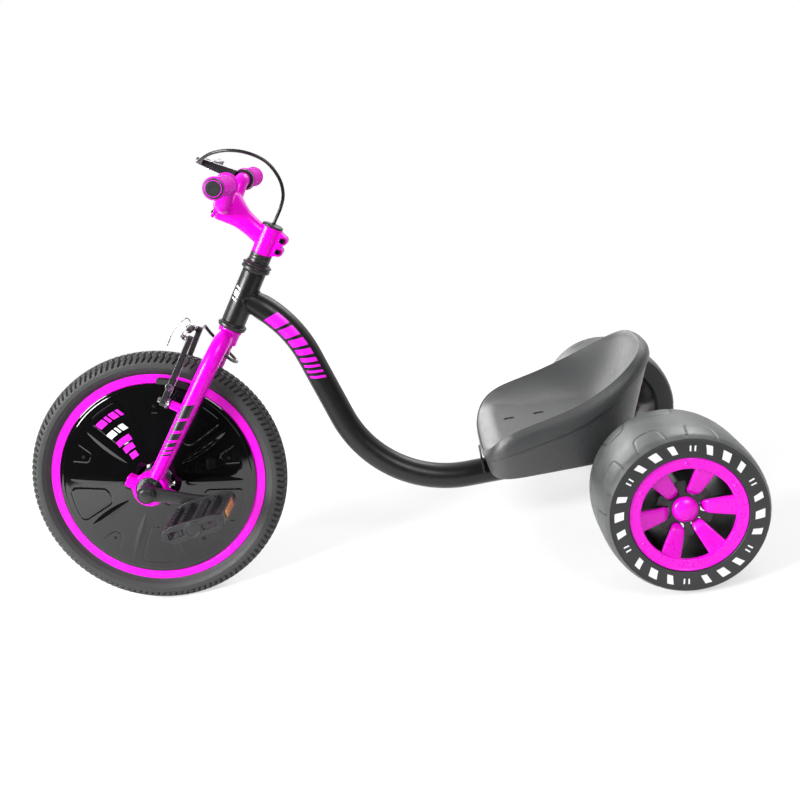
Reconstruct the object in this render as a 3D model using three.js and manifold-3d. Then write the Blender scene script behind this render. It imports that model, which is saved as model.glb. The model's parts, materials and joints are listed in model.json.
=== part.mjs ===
// Drift trike: a direct-drive sixteen-inch front wheel, a bent single-tube frame with a moulded
// bucket seat, and two wide smooth rear wheels. Millimetres, +X forward, +Y left, +Z up.
import * as THREE from "three";
import { mergeVertices } from "three/addons/utils/BufferGeometryUtils.js";
import Module from "manifold-3d";

const wasm = await Module();
wasm.setup();
const degrees = Math.PI / 180;

// Driving dimensions of the whole trike
const wheelbase = 720;
const overallWidth = 572;
const rimRadius = 159; // of the front wheel, over the flanges, for a bead seat of 305
const frontTyreHeight = 35; // from the rim's edge to the tread
const frontTyreRadius = rimRadius + frontTyreHeight;
const frontTyreWidth = 46;
const rearTyreRadius = 105.5;
const rearTyreWidth = 121;
const headAngleFromUpright = 34.9 * degrees;
const crownAboveTyre = 64; // from the top of the front tyre to the crown seat, along the head axis
const forkLength = frontTyreRadius + crownAboveTyre; // from the crown seat to the axle
const forkRake = 14;
const clearance = 0.3; // between two pieces that touch
const turningClearance = 0.8; // between two rings of flats that turn past each other
const overrun = 2; // how far a cutting tool runs past the face it cuts

// Roundness: sides of a turned piece
const hugeSides = 28;
const wheelSides = 22;
const tubeSides = 12;
const rodSides = 8;
const pinSides = 6;

// Finishes
const magenta = { color: 0xf208e4, roughness: 0.32, metalness: 0.0 };
const magentaRubber = { color: 0xee18de, roughness: 0.7, metalness: 0.0 };
const satinBlack = { color: 0x1d1d1e, roughness: 0.4, metalness: 0.1 };
const glossBlack = { color: 0x101111, roughness: 0.12, metalness: 0.0 };
const blackRubber = { color: 0x2b2c2d, roughness: 0.75, metalness: 0.0 };
const greyPlastic = { color: 0x3b3c3d, roughness: 0.55, metalness: 0.0 };
const brightSteel = { color: 0xc9cbcd, roughness: 0.25, metalness: 0.95 };
const seatPlastic = { color: 0x4a4b4c, roughness: 0.6, metalness: 0.0 };

// Turns a geometry into a solid, facing outwards
function solidOf(geometry) {
  const bare = new THREE.BufferGeometry();
  bare.setAttribute("position", geometry.getAttribute("position").clone());
  if (geometry.index) bare.setIndex(geometry.index.clone());
  const welded = mergeVertices(bare, 1e-4);
  const index = welded.index.array;
  const kept = [];
  for (let i = 0; i < index.length; i += 3) {
    const [a, b, c] = [index[i], index[i + 1], index[i + 2]];
    if (a !== b && b !== c && c !== a) kept.push(a, b, c);
  }
  const build = (corners) =>
    new wasm.Manifold(
      new wasm.Mesh({
        numProp: 3,
        vertProperties: welded.attributes.position.array,
        triVerts: new Uint32Array(corners),
      }),
    );
  const solid = build(kept);
  if (solid.volume() > 0) return solid;
  for (let i = 0; i < kept.length; i += 3) [kept[i + 1], kept[i + 2]] = [kept[i + 2], kept[i + 1]];
  return build(kept);
}

function geometryOf(solid) {
  const mesh = solid.getMesh();
  const geometry = new THREE.BufferGeometry();
  geometry.setAttribute("position", new THREE.BufferAttribute(mesh.vertProperties, 3));
  geometry.setIndex(new THREE.BufferAttribute(mesh.triVerts, 1));
  geometry.computeVertexNormals();
  return geometry;
}

const join = (...pieces) =>
  geometryOf(pieces.map(solidOf).reduce((whole, piece) => whole.add(piece)));
const cut = (body, ...tools) =>
  geometryOf(tools.map(solidOf).reduce((left, tool) => left.subtract(tool), solidOf(body)));
const common = (a, b) => geometryOf(solidOf(a).intersect(solidOf(b)));

// A closed skin over a row of rings with equal counts, with a flat fan over each end
function loft(rings) {
  const count = rings[0].length;
  const points = rings.flat();
  const corners = [];
  for (let r = 0; r + 1 < rings.length; r++)
    for (let k = 0; k < count; k++) {
      const a = r * count + k;
      const b = r * count + ((k + 1) % count);
      corners.push(a, b, a + count, b, b + count, a + count);
    }
  for (const [ring, turn] of [[0, 1], [rings.length - 1, 0]]) {
    const middle = rings[ring].reduce((sum, p) => sum.add(p), new THREE.Vector3());
    points.push(middle.divideScalar(count));
    for (let k = 0; k < count; k++) {
      const pair = [ring * count + k, ring * count + ((k + 1) % count)];
      if (turn) pair.reverse();
      corners.push(points.length - 1, ...pair);
    }
  }
  const geometry = new THREE.BufferGeometry().setFromPoints(points);
  geometry.setIndex(corners);
  return geometryOf(solidOf(geometry));
}

// Turned about the Y axis from [radius, y] pairs; a ring's profile closes on itself
function turned(profile, sides) {
  const points = profile.map(([radius, y]) => new THREE.Vector2(radius, y));
  return geometryOf(solidOf(new THREE.LatheGeometry(points, sides)));
}
const ring = (profile, sides) => turned([...profile, profile[0]], sides);
const tube = (outer, inner, from, to, sides) =>
  ring([[inner, from], [outer, from], [outer, to], [inner, to]], sides);
function rod(radius, from, to, sides) {
  const geometry = new THREE.CylinderGeometry(radius, radius, to - from, sides);
  return geometry.translate(0, (from + to) / 2, 0);
}
const alongX = (geometry) => geometry.rotateZ(-Math.PI / 2);
const alongZ = (geometry) => geometry.rotateX(Math.PI / 2);
const move = (geometry, x, y, z) => geometry.translate(x, y, z);

// A box between two corners
function block(low, high) {
  const size = low.map((value, i) => high[i] - value);
  const middle = low.map((value, i) => (high[i] + value) / 2);
  return new THREE.BoxGeometry(...size).translate(...middle);
}

// An outline in X and Z drawn through a thickness along Y, centred on middle
function slab(outline, thickness, middle = 0) {
  const points = Array.isArray(outline) && outline.map(([x, z]) => new THREE.Vector2(x, z));
  const shape = points ? new THREE.Shape(points) : outline;
  const settings = { depth: thickness, bevelEnabled: false, curveSegments: 4 };
  const geometry = new THREE.ExtrudeGeometry(shape, settings);
  return geometry.rotateX(Math.PI / 2).translate(0, middle + thickness / 2, 0);
}

// An outline in X and Y with a thickness along Z, centred on zero
function sheet(outline, thickness) {
  const shape = new THREE.Shape(outline.map(([x, y]) => new THREE.Vector2(x, y)));
  const geometry = new THREE.ExtrudeGeometry(shape, { depth: thickness, bevelEnabled: false });
  return geometry.translate(0, 0, -thickness / 2);
}

// A round bar along a path of stations { at, along, radius }, for a path that lies in one plane
function roundBar(stations, planeNormal, sides) {
  return loft(
    stations.map(({ at, along, radius }) => {
      const side = new THREE.Vector3().crossVectors(planeNormal, along).normalize();
      return Array.from({ length: sides }, (_, k) => {
        const turn = (2 * Math.PI * k) / sides;
        return at
          .clone()
          .addScaledVector(side, radius * Math.cos(turn))
          .addScaledVector(planeNormal, radius * Math.sin(turn));
      });
    }),
  );
}

const trike = new THREE.Group();
function piece(parent, name, geometry, finish) {
  const mesh = new THREE.Mesh(geometry, new THREE.MeshStandardMaterial(finish));
  mesh.name = name;
  parent.add(mesh);
}

// The frame group has its origin under the rear axle; the trike's is under the middle of its length
const chassis = new THREE.Group();
chassis.position.x = -(wheelbase + frontTyreRadius - rearTyreRadius) / 2;
trike.add(chassis);

// Head axis: the steering group stands on the lower end of the head tube, Z along the head axis
const headBase = new THREE.Vector3(
  wheelbase - forkRake * Math.cos(headAngleFromUpright) - forkLength * Math.sin(headAngleFromUpright),
  0,
  frontTyreRadius - forkRake * Math.sin(headAngleFromUpright) + forkLength * Math.cos(headAngleFromUpright),
);
const steering = new THREE.Group();
steering.position.copy(headBase);
steering.rotation.y = -headAngleFromUpright;
chassis.add(steering);

// Headset and head tube, along the head axis
const steererRadius = 12.7;
const steererBore = 10.5;
const headTubeRadius = 17.8;
const headTubeBore = 15.6;
const headTubeLength = 82;
const cupHeight = 9;
const cupRadius = 21.6;
const cupInsertDepth = 9;
const bearingRadius = 18.4;
const bearingHeight = 6.4;
const headTubeBottom = cupHeight + clearance;
const headTubeTop = headTubeBottom + headTubeLength;
const headsetTop = headTubeTop + clearance + cupHeight;
const toHeadAxis = (geometry) =>
  geometry.rotateY(-headAngleFromUpright).translate(headBase.x, headBase.y, headBase.z);

// A cup stands on the end of the head tube, its recess away from the tube
function headsetCup() {
  const recess = bearingHeight + clearance;
  const lip = cupHeight / 3;
  return ring(
    [
      [steererRadius + 1.5 * clearance, 0 - cupInsertDepth],
      [headTubeBore - clearance, 0 - cupInsertDepth],
      [headTubeBore - clearance, 0],
      [headTubeRadius, 0],
      [cupRadius, lip],
      [cupRadius, cupHeight - lip],
      [cupRadius - lip / 2, cupHeight],
      [bearingRadius + turningClearance, cupHeight],
      [bearingRadius + turningClearance, cupHeight - recess],
      [steererRadius + 1.5 * clearance, cupHeight - recess],
    ],
    tubeSides,
  );
}
const lowerCup = alongZ(headsetCup().rotateZ(Math.PI)).translate(0, 0, headTubeBottom - clearance);
const upperCup = alongZ(headsetCup()).translate(0, 0, headTubeTop + clearance);

// Main tube: leaves the head tube, sweeps down in two arcs and runs level to the rear axle
const mainTubeRadius = 19.05;
const mainTubeStart = 48.8; // up the head axis
const mainTubeFirstSlope = 37.2 * degrees;
const mainTubeSteepSlope = 74 * degrees;
const mainTubeStub = 11.4;
const upperBendRadius = 189.8;
const lowerBendRadius = 174.7;
const bendStep = 12 * degrees;

function mainTubeStations() {
  const at = headBase.clone();
  at.x -= mainTubeStart * Math.sin(headAngleFromUpright);
  at.z += mainTubeStart * Math.cos(headAngleFromUpright);
  const stations = [];
  const heading = (slope) => new THREE.Vector3(-Math.cos(slope), 0, -Math.sin(slope));
  const note = (slope) => stations.push({ at: at.clone(), along: heading(slope), radius: mainTubeRadius });
  const straight = (slope, length) => {
    at.addScaledVector(heading(slope), length);
    note(slope);
  };
  const bend = (from, to, radius) => {
    const steps = Math.max(2, Math.round(Math.abs(to - from) / bendStep));
    for (let k = 0; k < steps; k++) {
      const half = (to - from) / steps / 2;
      const middle = from + (2 * k + 1) * half;
      at.addScaledVector(heading(middle), 2 * radius * Math.sin(Math.abs(half)));
      note(middle + half);
    }
  };
  note(mainTubeFirstSlope);
  straight(mainTubeFirstSlope, mainTubeStub);
  const bendDrop =
    upperBendRadius * (Math.cos(mainTubeFirstSlope) - Math.cos(mainTubeSteepSlope)) +
    lowerBendRadius * (1 - Math.cos(mainTubeSteepSlope));
  const steepDrop = at.z - rearTyreRadius - bendDrop;
  bend(mainTubeFirstSlope, mainTubeSteepSlope, upperBendRadius);
  straight(mainTubeSteepSlope, steepDrop / Math.sin(mainTubeSteepSlope));
  bend(mainTubeSteepSlope, 0, lowerBendRadius);
  straight(0, at.x);
  return stations;
}

// Rear axle tube across the tail of the main tube
const axleRadius = 7.5;
const axleTubeRadius = 15.9;
const axleTubeInset = 15; // from a rear tyre's inner face to the end of the tube
const rearTrackGap = overallWidth - 2 * rearTyreWidth; // between the inner faces of the rear tyres
const axleTubeLength = rearTrackGap - 2 * axleTubeInset;

// Seat bracket: a folded channel on the main tube, with a plate down the front of the seat
const seatFloorTop = 179;
const seatWall = 5;
const bracketWidth = 56;
const bracketSheet = 3;
const bracketTop = seatFloorTop - seatWall - clearance;
const bracketFront = 194;
const bracketRear = 74;
const mastThickness = 19;
const mastEnd = 16; // metal left at each end of the mast's windows
const mastEdge = 8; // metal left over the tube, and on each side of the middle
const frontPlateAhead = 232.6;
const frontPlateTall = 28;
const seatBoltPlaces = [182, 137];
const seatBoltRadius = 3;
const seatBoltReach = 12; // below the bracket's top
const boltHoleRadius = seatBoltRadius + clearance;

// The mast stands on the main tube and carries the channel; two windows lighten it
function seatBracket() {
  const tubeTop = rearTyreRadius + mainTubeRadius;
  const middle = (bracketRear + bracketFront) / 2;
  const mast = block(
    [bracketRear, -mastThickness / 2, rearTyreRadius],
    [bracketFront, mastThickness / 2, bracketTop - bracketSheet / 2],
  );
  const windows = [
    [bracketRear + mastEnd, middle - mastEdge],
    [middle + mastEdge, bracketFront - mastEnd],
  ].map(([from, to]) =>
    block([from, -mastThickness, tubeTop + mastEdge], [to, mastThickness, bracketTop - 4 * bracketSheet]),
  );
  const topPlate = block(
    [bracketRear, -bracketWidth / 2, bracketTop - bracketSheet],
    [bracketFront, bracketWidth / 2, bracketTop],
  );
  const cheeks = [-bracketWidth / 2, bracketWidth / 2 - bracketSheet].map((y) =>
    block([bracketRear, y, bracketTop - 4 * bracketSheet], [bracketFront, y + bracketSheet, bracketTop]),
  );
  const plateLow = rearTyreRadius + mainTubeRadius / 4;
  const frontPlate = block(
    [frontPlateAhead, -bracketWidth / 2, plateLow],
    [frontPlateAhead + bracketSheet, bracketWidth / 2, plateLow + frontPlateTall],
  );
  return join(cut(mast, ...windows), topPlate, ...cheeks, frontPlate);
}

function frame() {
  const headTube = toHeadAxis(alongZ(rod(headTubeRadius, headTubeBottom, headTubeTop, tubeSides)));
  const axleTube = rod(axleTubeRadius, -axleTubeLength / 2, axleTubeLength / 2, tubeSides);
  const gussetReach = 3 * axleTubeRadius;
  const gusset = sheet([[0, -gussetReach], [gussetReach, 0], [0, gussetReach]], 2 * bracketSheet);
  const body = join(
    roundBar(mainTubeStations(), new THREE.Vector3(0, 1, 0), tubeSides),
    headTube,
    move(axleTube, 0, 0, rearTyreRadius),
    move(gusset, 0, 0, rearTyreRadius),
    seatBracket(),
  );
  const headBore = toHeadAxis(
    alongZ(rod(headTubeBore, headTubeBottom - overrun, headTubeTop + overrun, tubeSides)),
  );
  const axleBore = move(
    rod(axleRadius + clearance, -axleTubeLength / 2 - overrun, axleTubeLength / 2 + overrun, tubeSides),
    0,
    0,
    rearTyreRadius,
  );
  const boltHoleBottom = bracketTop - seatBoltReach - overrun;
  const boltHoles = seatBoltPlaces.map((x) =>
    move(alongZ(rod(boltHoleRadius, boltHoleBottom, bracketTop + overrun, rodSides)), x, 0, 0),
  );
  return cut(body, headBore, axleBore, ...boltHoles);
}

// Seat: a moulded bucket. Rings run from the middle of the underside, out and down the skirt, in
// under a fold line, up the wide roll to the rim and in to the middle of the floor.
const seatMiddle = 110.7; // ahead of the rear axle
const seatFrontReach = 121;
const seatBackReach = 134;
const seatHalfWidth = 122;
const seatSkirtBottom = 129;
const seatFrontHeight = 159.5;
const seatBackHeight = 269.7;
const seatRollTall = 29; // from the rim down to the fold line, along the sides
const seatRollOut = 6.4; // how far the fold line stands outside the rim
const seatRollBackOut = 5.5; // and how much further at the back
const seatFoldStep = 2; // the skirt stands this far inside the fold line
const seatBackLean = 54; // how far the skirt's foot lies ahead of its top, at the back
const seatSkirtDraw = 4; // how far the skirt leans in at the front and sides
const seatAround = 32;
const seatSlotLength = 17;
const seatSlotWidth = 9;

// The rim's plan is a rounded square ahead of the middle and nearly an ellipse behind it
function seatPlanPoint(turn) {
  const forward = Math.cos(turn);
  const across = Math.sin(turn);
  const [alongPower, acrossPower, reach] =
    forward > 0 ? [0.24, 0.53, seatFrontReach] : [0.95, 0.67, seatBackReach];
  const x = Math.sign(forward) * Math.abs(forward) ** alongPower * reach;
  const y = Math.sign(across) * Math.abs(across) ** acrossPower * seatHalfWidth;
  return new THREE.Vector3(x, y, 0);
}

// Points of the rim, evenly spaced: it rises a little along the sides and most at the back, and
// rolls down at the front. share is 0 at the back and 1 at the front.
function seatRim() {
  const dense = Array.from({ length: 720 }, (_, k) => seatPlanPoint((k * Math.PI) / 360));
  const even = new THREE.CatmullRomCurve3(dense, true).getSpacedPoints(seatAround).slice(0, -1);
  return even.map(({ x, y }) => {
    const share = (x + seatBackReach) / (seatFrontReach + seatBackReach);
    const rise = 0.36 * (1 - share ** 10) + 0.64 * Math.max(0, 1 - share) ** 2.3;
    const z = seatFrontHeight + rise * (seatBackHeight - seatFrontHeight);
    const nose = 1 - 0.8 * share ** 14; // the roll thins out round the front
    const behind = Math.max(0, -x / seatBackReach);
    const tall = seatRollTall * Math.min(1, 0.58 + share) * nose;
    const out = (seatRollOut + seatRollBackOut * behind ** 2) * nose;
    return { x, y, z, behind, tall, out, reach: Math.hypot(x, y) };
  });
}

function seat() {
  const rim = seatRim();
  const layer = (share, heightOf) =>
    rim.map((at) => new THREE.Vector3(seatMiddle + at.x * share, at.y * share, heightOf(at)));
  const outside = (at, out, z, ahead = 0) =>
    new THREE.Vector3(seatMiddle + at.x * (1 + out / at.reach) + ahead, at.y * (1 + out / at.reach), z);
  const roll = (outShare, downShare) =>
    rim.map((at) => outside(at, at.out * outShare, at.z - at.tall * downShare));
  const skirt = (inset, depth) =>
    rim.map((at) => {
      const top = at.z - at.tall;
      const lean = seatSkirtDraw * depth * (1 - at.behind);
      const ahead = seatBackLean * at.behind ** 2 * depth;
      return outside(at, at.out - inset - lean, top - (top - seatSkirtBottom) * depth, ahead);
    });
  // The floor lies flat, then rises to the rim, or rolls down to it at the front
  const bowl = (share) => (at) => {
    const falling = Math.min(1, Math.max(0, (seatFloorTop - at.z) / (2 * seatWall) + 0.5));
    const flat = 0.34 + 0.4 * falling;
    return seatFloorTop + (at.z - seatFloorTop) * Math.max(0, (share - flat) / (1 - flat)) ** 1.9;
  };
  const under = (share) => (at) => bowl(share)(at) - seatWall;
  const rings = [
    layer(0.3, under(0.3)),
    layer(0.72, under(0.72)),
    layer(0.89, (at) => Math.min(under(0.89)(at), at.z - at.tall)),
    skirt(seatFoldStep + seatWall, 1),
    skirt(seatFoldStep, 1),
    skirt(seatFoldStep, 0.03),
    roll(1, 1),
    roll(0.9, 0.5),
    roll(0, 0),
    layer(0.94, bowl(0.94)),
    layer(0.8, bowl(0.8)),
    layer(0.6, bowl(0.6)),
    layer(0.3, bowl(0.3)),
  ];
  return cut(loft(rings), ...seatBoltPlaces.map(seatSlot));
}

function seatSlot(x) {
  const radius = seatSlotWidth / 2;
  const half = seatSlotLength / 2 - radius;
  const ends = [-half, half].map((at) => move(alongZ(rod(radius, 0, 3 * seatWall, rodSides)), at, 0, 0));
  const slot = join(block([-half, -radius, 0], [half, radius, 3 * seatWall]), ...ends);
  return move(slot, x, 0, seatFloorTop - 2 * seatWall);
}

// A seat bolt: its head lies in the slot, its nut under the bracket
function seatBolt() {
  const head = seatSlotWidth / 2 - clearance;
  const headTop = seatFloorTop - seatWall / 5;
  return alongZ(
    turned(
      [
        [0, bracketTop - seatBoltReach],
        [seatBoltRadius, bracketTop - seatBoltReach],
        [seatBoltRadius, bracketTop + clearance],
        [head, bracketTop + clearance],
        [head, headTop - 2 * clearance],
        [0, headTop],
      ],
      rodSides,
    ),
  );
}

piece(chassis, "frame", frame(), satinBlack);
piece(chassis, "seat", seat(), seatPlastic);
seatBoltPlaces.forEach((x, i) =>
  piece(chassis, i ? "seat_bolt_rear" : "seat_bolt_front", move(seatBolt(), x, 0, 0), satinBlack),
);
piece(chassis, "lower_headset_cup", toHeadAxis(lowerCup), satinBlack);
piece(chassis, "upper_headset_cup", toHeadAxis(upperCup), satinBlack);

// Rear wheels. Each is drawn as the left one, about the axle, and the right one is turned round.
const rearFaceOut = overallWidth / 2;
const rearFaceIn = rearFaceOut - rearTyreWidth;
const rearSleeveWall = 32; // from the sleeve's skin in to the disc
const rearShoulderDrop = 4.5;
const rearShoulderInset = 9;
const discRadius = rearTyreRadius - rearSleeveWall;
const discFaceDepth = 2.5; // the disc's face lies this far inside the tyre's face
const discFace = rearFaceOut - discFaceDepth;
const discRingWidth = 14.5;
const discRingInner = discRadius - discRingWidth;
const discEdgeBevel = 1.5;
const discRimDeep = 9;
const barrelWall = 4;
const coreRadius = 19;
const bearingOuter = 14;
const rearBearingWidth = 10;
const coreDepth = 20; // from the disc's face in to the hub's
const coreOut = discFace - coreDepth;
const coreInset = 6; // from the tyre's inner face to the core
const coreIn = rearFaceIn + coreInset;
const petalCount = 6;
const petalRootHalf = 13.5;
const petalTipHalf = 8.5;
const petalThickness = 5;
const petalDepth = 24;
const ribThickness = 3.6;
const starReach = 36;
const starThickness = 3;
const starArmHalf = 7.5;
const domeRadius = 16.5;
const domeHeight = 9.5;
const nutRadius = 6.6;
const nutHeight = 6;
const hubFace = coreOut - starThickness - clearance; // the outer end of the hub, under the star
const hubSplit = hubFace - rearBearingWidth - clearance; // the core ends here and the disc's hub begins
const petalTurns = Array.from({ length: petalCount }, (_, k) => ((k + 0.5) * 2 * Math.PI) / petalCount);

// The smooth sleeve with the ribbed barrel and core that it is moulded on
function rearTyre() {
  const shoulder = rearTyreRadius - rearShoulderDrop;
  const quarter = rearTyreWidth / 4;
  const barrelOut = discFace - discRimDeep - clearance;
  const sleeve = ring(
    [
      [discRadius - barrelWall, coreIn],
      [discRadius, rearFaceIn],
      [shoulder - rearShoulderInset, rearFaceIn],
      [shoulder, rearFaceIn + rearShoulderInset / 2],
      [rearTyreRadius, rearFaceIn + quarter],
      [rearTyreRadius, rearFaceOut - quarter],
      [shoulder, rearFaceOut - rearShoulderInset / 2],
      [shoulder - rearShoulderInset, rearFaceOut],
      [discRadius + clearance, rearFaceOut],
      [discRadius + clearance, barrelOut],
      [discRadius - barrelWall, barrelOut],
    ],
    wheelSides,
  );
  const core = rod(coreRadius, coreIn, hubSplit - clearance, tubeSides);
  const ribs = petalTurns.map((turn) =>
    block(
      [-ribThickness / 2, coreIn, coreRadius - ribThickness],
      [ribThickness / 2, coreIn + 2 * rearBearingWidth, discRadius - barrelWall / 2],
    ).rotateY(turn),
  );
  const bore = rod(axleRadius + turningClearance, coreIn - overrun, discFace, tubeSides);
  const seatEnd = coreIn + rearBearingWidth + clearance;
  const bearingSeat = rod(bearingOuter + clearance, coreIn - overrun, seatEnd, tubeSides);
  return cut(join(sleeve, core, ...ribs), bore, bearingSeat);
}

// A petal slopes in from the ring to the hub, with a rounded end
function petal(turn) {
  const sections = [
    { radius: discRingInner + petalThickness / 2, half: petalRootHalf, drop: petalThickness / 10 },
    { radius: coreRadius + 2 * petalThickness, half: petalTipHalf, drop: 0.55 * petalDepth },
    { radius: coreRadius + petalThickness, half: petalTipHalf * 0.86, drop: 0.76 * petalDepth },
    { radius: coreRadius - petalThickness / 5, half: petalTipHalf * 0.5, drop: petalDepth },
  ];
  const outline = [[-1, -0.3], [-0.7, 0.5], [0.7, 0.5], [1, -0.3], [0, -0.5]];
  const rings = sections.map(({ radius, half, drop }) =>
    outline.map(
      ([across, out]) =>
        new THREE.Vector3(across * half, discFace - petalThickness / 2 - drop + out * petalThickness, radius),
    ),
  );
  return loft(rings).rotateY(turn);
}

// Face ring, six petals and the hub that holds the outer bearing
function wheelDisc() {
  const faceRing = ring(
    [
      [discRadius, discFace - discRimDeep],
      [discRadius, discFace - discEdgeBevel],
      [discRingInner, discFace],
      [discRingInner, discFace - discEdgeBevel - petalThickness],
      [discRadius - barrelWall, discFace - discRimDeep],
    ],
    wheelSides,
  );
  const hub = rod(coreRadius, hubSplit, hubFace, tubeSides);
  const bearingSeat = rod(bearingOuter + clearance, hubSplit - overrun, discFace, tubeSides);
  return cut(join(faceRing, hub, ...petalTurns.map(petal)), bearingSeat);
}

// Flat star: a disc with six arms that spread where the petals rise clear of them
function starPlate() {
  const armPoints = [
    [-starArmHalf * 0.56, coreRadius],
    [-starArmHalf * 0.56, coreRadius + 0.35 * (starReach - coreRadius)],
    [-starArmHalf, coreRadius + 0.6 * (starReach - coreRadius)],
    [-starArmHalf * 0.9, starReach],
    [starArmHalf * 0.9, starReach],
    [starArmHalf, coreRadius + 0.6 * (starReach - coreRadius)],
    [starArmHalf * 0.56, coreRadius + 0.35 * (starReach - coreRadius)],
    [starArmHalf * 0.56, coreRadius],
  ];
  const outline = new THREE.Shape();
  for (let k = 0; k < petalCount; k++) {
    const turn = (k * 2 * Math.PI) / petalCount;
    for (const [across, radius] of armPoints) {
      const x = radius * Math.sin(turn) + across * Math.cos(turn);
      const z = radius * Math.cos(turn) - across * Math.sin(turn);
      if (k || across !== armPoints[0][0] || radius !== armPoints[0][1]) outline.lineTo(x, z);
      else outline.moveTo(x, z);
    }
    const between = turn + Math.PI / petalCount;
    outline.lineTo(coreRadius * Math.sin(between), coreRadius * Math.cos(between));
  }
  const bore = rod(axleRadius + turningClearance, coreOut - 2 * starThickness, discFace, rodSides);
  return cut(slab(outline, starThickness, coreOut - starThickness / 2), bore);
}

function hubCap() {
  const wall = 2;
  const base = coreOut + clearance;
  const arc = [0, 0.35, 0.7, 1].map((share) => (share * Math.PI) / 2);
  const outer = arc.map((a) => [domeRadius * Math.cos(a), base + domeHeight * Math.sin(a)]);
  const inner = arc.map((a) => [(domeRadius - wall) * Math.cos(a), base + (domeHeight - wall) * Math.sin(a)]);
  return turned([...inner.reverse(), ...outer], tubeSides);
}

const rearBearings = [["inner_bearing", coreIn], ["outer_bearing", hubFace - rearBearingWidth]];
function axleNut() {
  const low = coreOut + clearance;
  const thread = rod(axleRadius / 2 + clearance, low - overrun, low + 2 * nutHeight, rodSides);
  return cut(rod(nutRadius, low, low + nutHeight, pinSides), thread);
}
for (const [side, turn] of [["left", 0], ["right", Math.PI]]) {
  const wheel = new THREE.Group();
  wheel.position.z = rearTyreRadius;
  wheel.rotation.z = turn;
  chassis.add(wheel);
  piece(wheel, `${side}_rear_tyre`, rearTyre(), greyPlastic);
  piece(wheel, `${side}_wheel_disc`, wheelDisc(), magenta);
  piece(wheel, `${side}_star_plate`, starPlate(), satinBlack);
  piece(wheel, `${side}_hub_cap`, hubCap(), magenta);
  for (const [name, from] of rearBearings) {
    const to = from + rearBearingWidth - clearance;
    const race = tube(bearingOuter, axleRadius + clearance, from, to, tubeSides);
    piece(wheel, `${side}_${name}`, race, brightSteel);
  }
  piece(wheel, `${side}_axle_nut`, axleNut(), brightSteel);
}

// The rear axle: full size through the tube and both hubs, with a thinner threaded end for each nut
const axleEnd = coreOut + 0.8 * nutHeight;
const axleShoulder = hubFace;
const rearAxle = turned(
  [
    [0, -axleEnd],
    [axleRadius / 2, -axleEnd],
    [axleRadius / 2, -axleShoulder],
    [axleRadius, -axleShoulder],
    [axleRadius, axleShoulder],
    [axleRadius / 2, axleShoulder],
    [axleRadius / 2, axleEnd],
    [0, axleEnd],
  ],
  rodSides,
);
piece(chassis, "rear_axle", move(rearAxle, 0, 0, rearTyreRadius), brightSteel);

// Fork: a hollow steerer, and two legs that bend out of the crown and run straight to the axle
const stemHeight = 42;
const spacerHeight = 13.5;
const coverHeight = 5.6;
const stemBottom = headsetTop + clearance + coverHeight + spacerHeight + 2 * clearance;
const stemTop = stemBottom + stemHeight;
const legTopRadius = 13;
const legFootRadius = 11;
const legFootSpread = 56; // from the middle plane to a leg at the axle
const legShoulderSpread = 45;
const crownDepth = 36;
const legStart = -14.5;
const legTopRake = 2; // the legs leave the crown this far ahead of the head axis
const frontBearingOuter = 19.5;
const frontBearingInner = 11;
const frontBearingWidth = 11;
const holderWidth = 16;
const holderHalfLength = 37;
const holderWall = 5;
const holderEar = 8; // thickness of the ears that the bolts pass through
const holderBoltRadius = 3;
const holderBoltInset = 6;
const holderBoltHead = 5;
const brakePivotBelowRim = 32;
const brakePivotUp = rimRadius - brakePivotBelowRim; // above the axle along the head axis
const brakePivotSpread = 44;
const brakeBossRadius = 6.5;
const brakeBossEnd = 36;
const brakeBossRoot = 8; // inside the leg
const steererBelowStem = 2; // so that the top cap presses on the stem
const raceSeatRadius = steererRadius + 1.2;

const legLean = (z) => legTopRake + ((forkRake - legTopRake) * z) / -forkLength;
function forkLeg(side) {
  const places = [
    { spread: 0.24 * legShoulderSpread, z: legStart, radius: legTopRadius },
    { spread: 0.5 * legShoulderSpread, z: legStart - 0.14 * crownDepth, radius: legTopRadius },
    { spread: 0.72 * legShoulderSpread, z: legStart - 0.42 * crownDepth, radius: legTopRadius },
    { spread: 0.88 * legShoulderSpread, z: legStart - 0.85 * crownDepth, radius: legTopRadius },
    { spread: legShoulderSpread, z: legStart - 1.6 * crownDepth, radius: legTopRadius },
    { spread: 0.96 * legFootSpread, z: -0.8 * forkLength, radius: legFootRadius },
    { spread: legFootSpread, z: -forkLength + frontBearingOuter, radius: legFootRadius },
  ];
  const points = places.map(({ spread, z }) => new THREE.Vector3(legLean(z), side * spread, z));
  return loft(
    places.map(({ radius }, i) => {
      const before = points[Math.max(0, i - 1)];
      const after = points[Math.min(points.length - 1, i + 1)];
      const along = after.clone().sub(before).normalize();
      const inPlane = new THREE.Vector3().crossVectors(along, new THREE.Vector3(1, 0, 0)).normalize();
      const forward = new THREE.Vector3().crossVectors(inPlane, along).normalize();
      return Array.from({ length: tubeSides }, (_, k) => {
        const turn = (2 * Math.PI * k) / tubeSides;
        return points[i]
          .clone()
          .addScaledVector(forward, radius * Math.cos(turn))
          .addScaledVector(inPlane, radius * Math.sin(turn));
      });
    }),
  );
}

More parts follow.
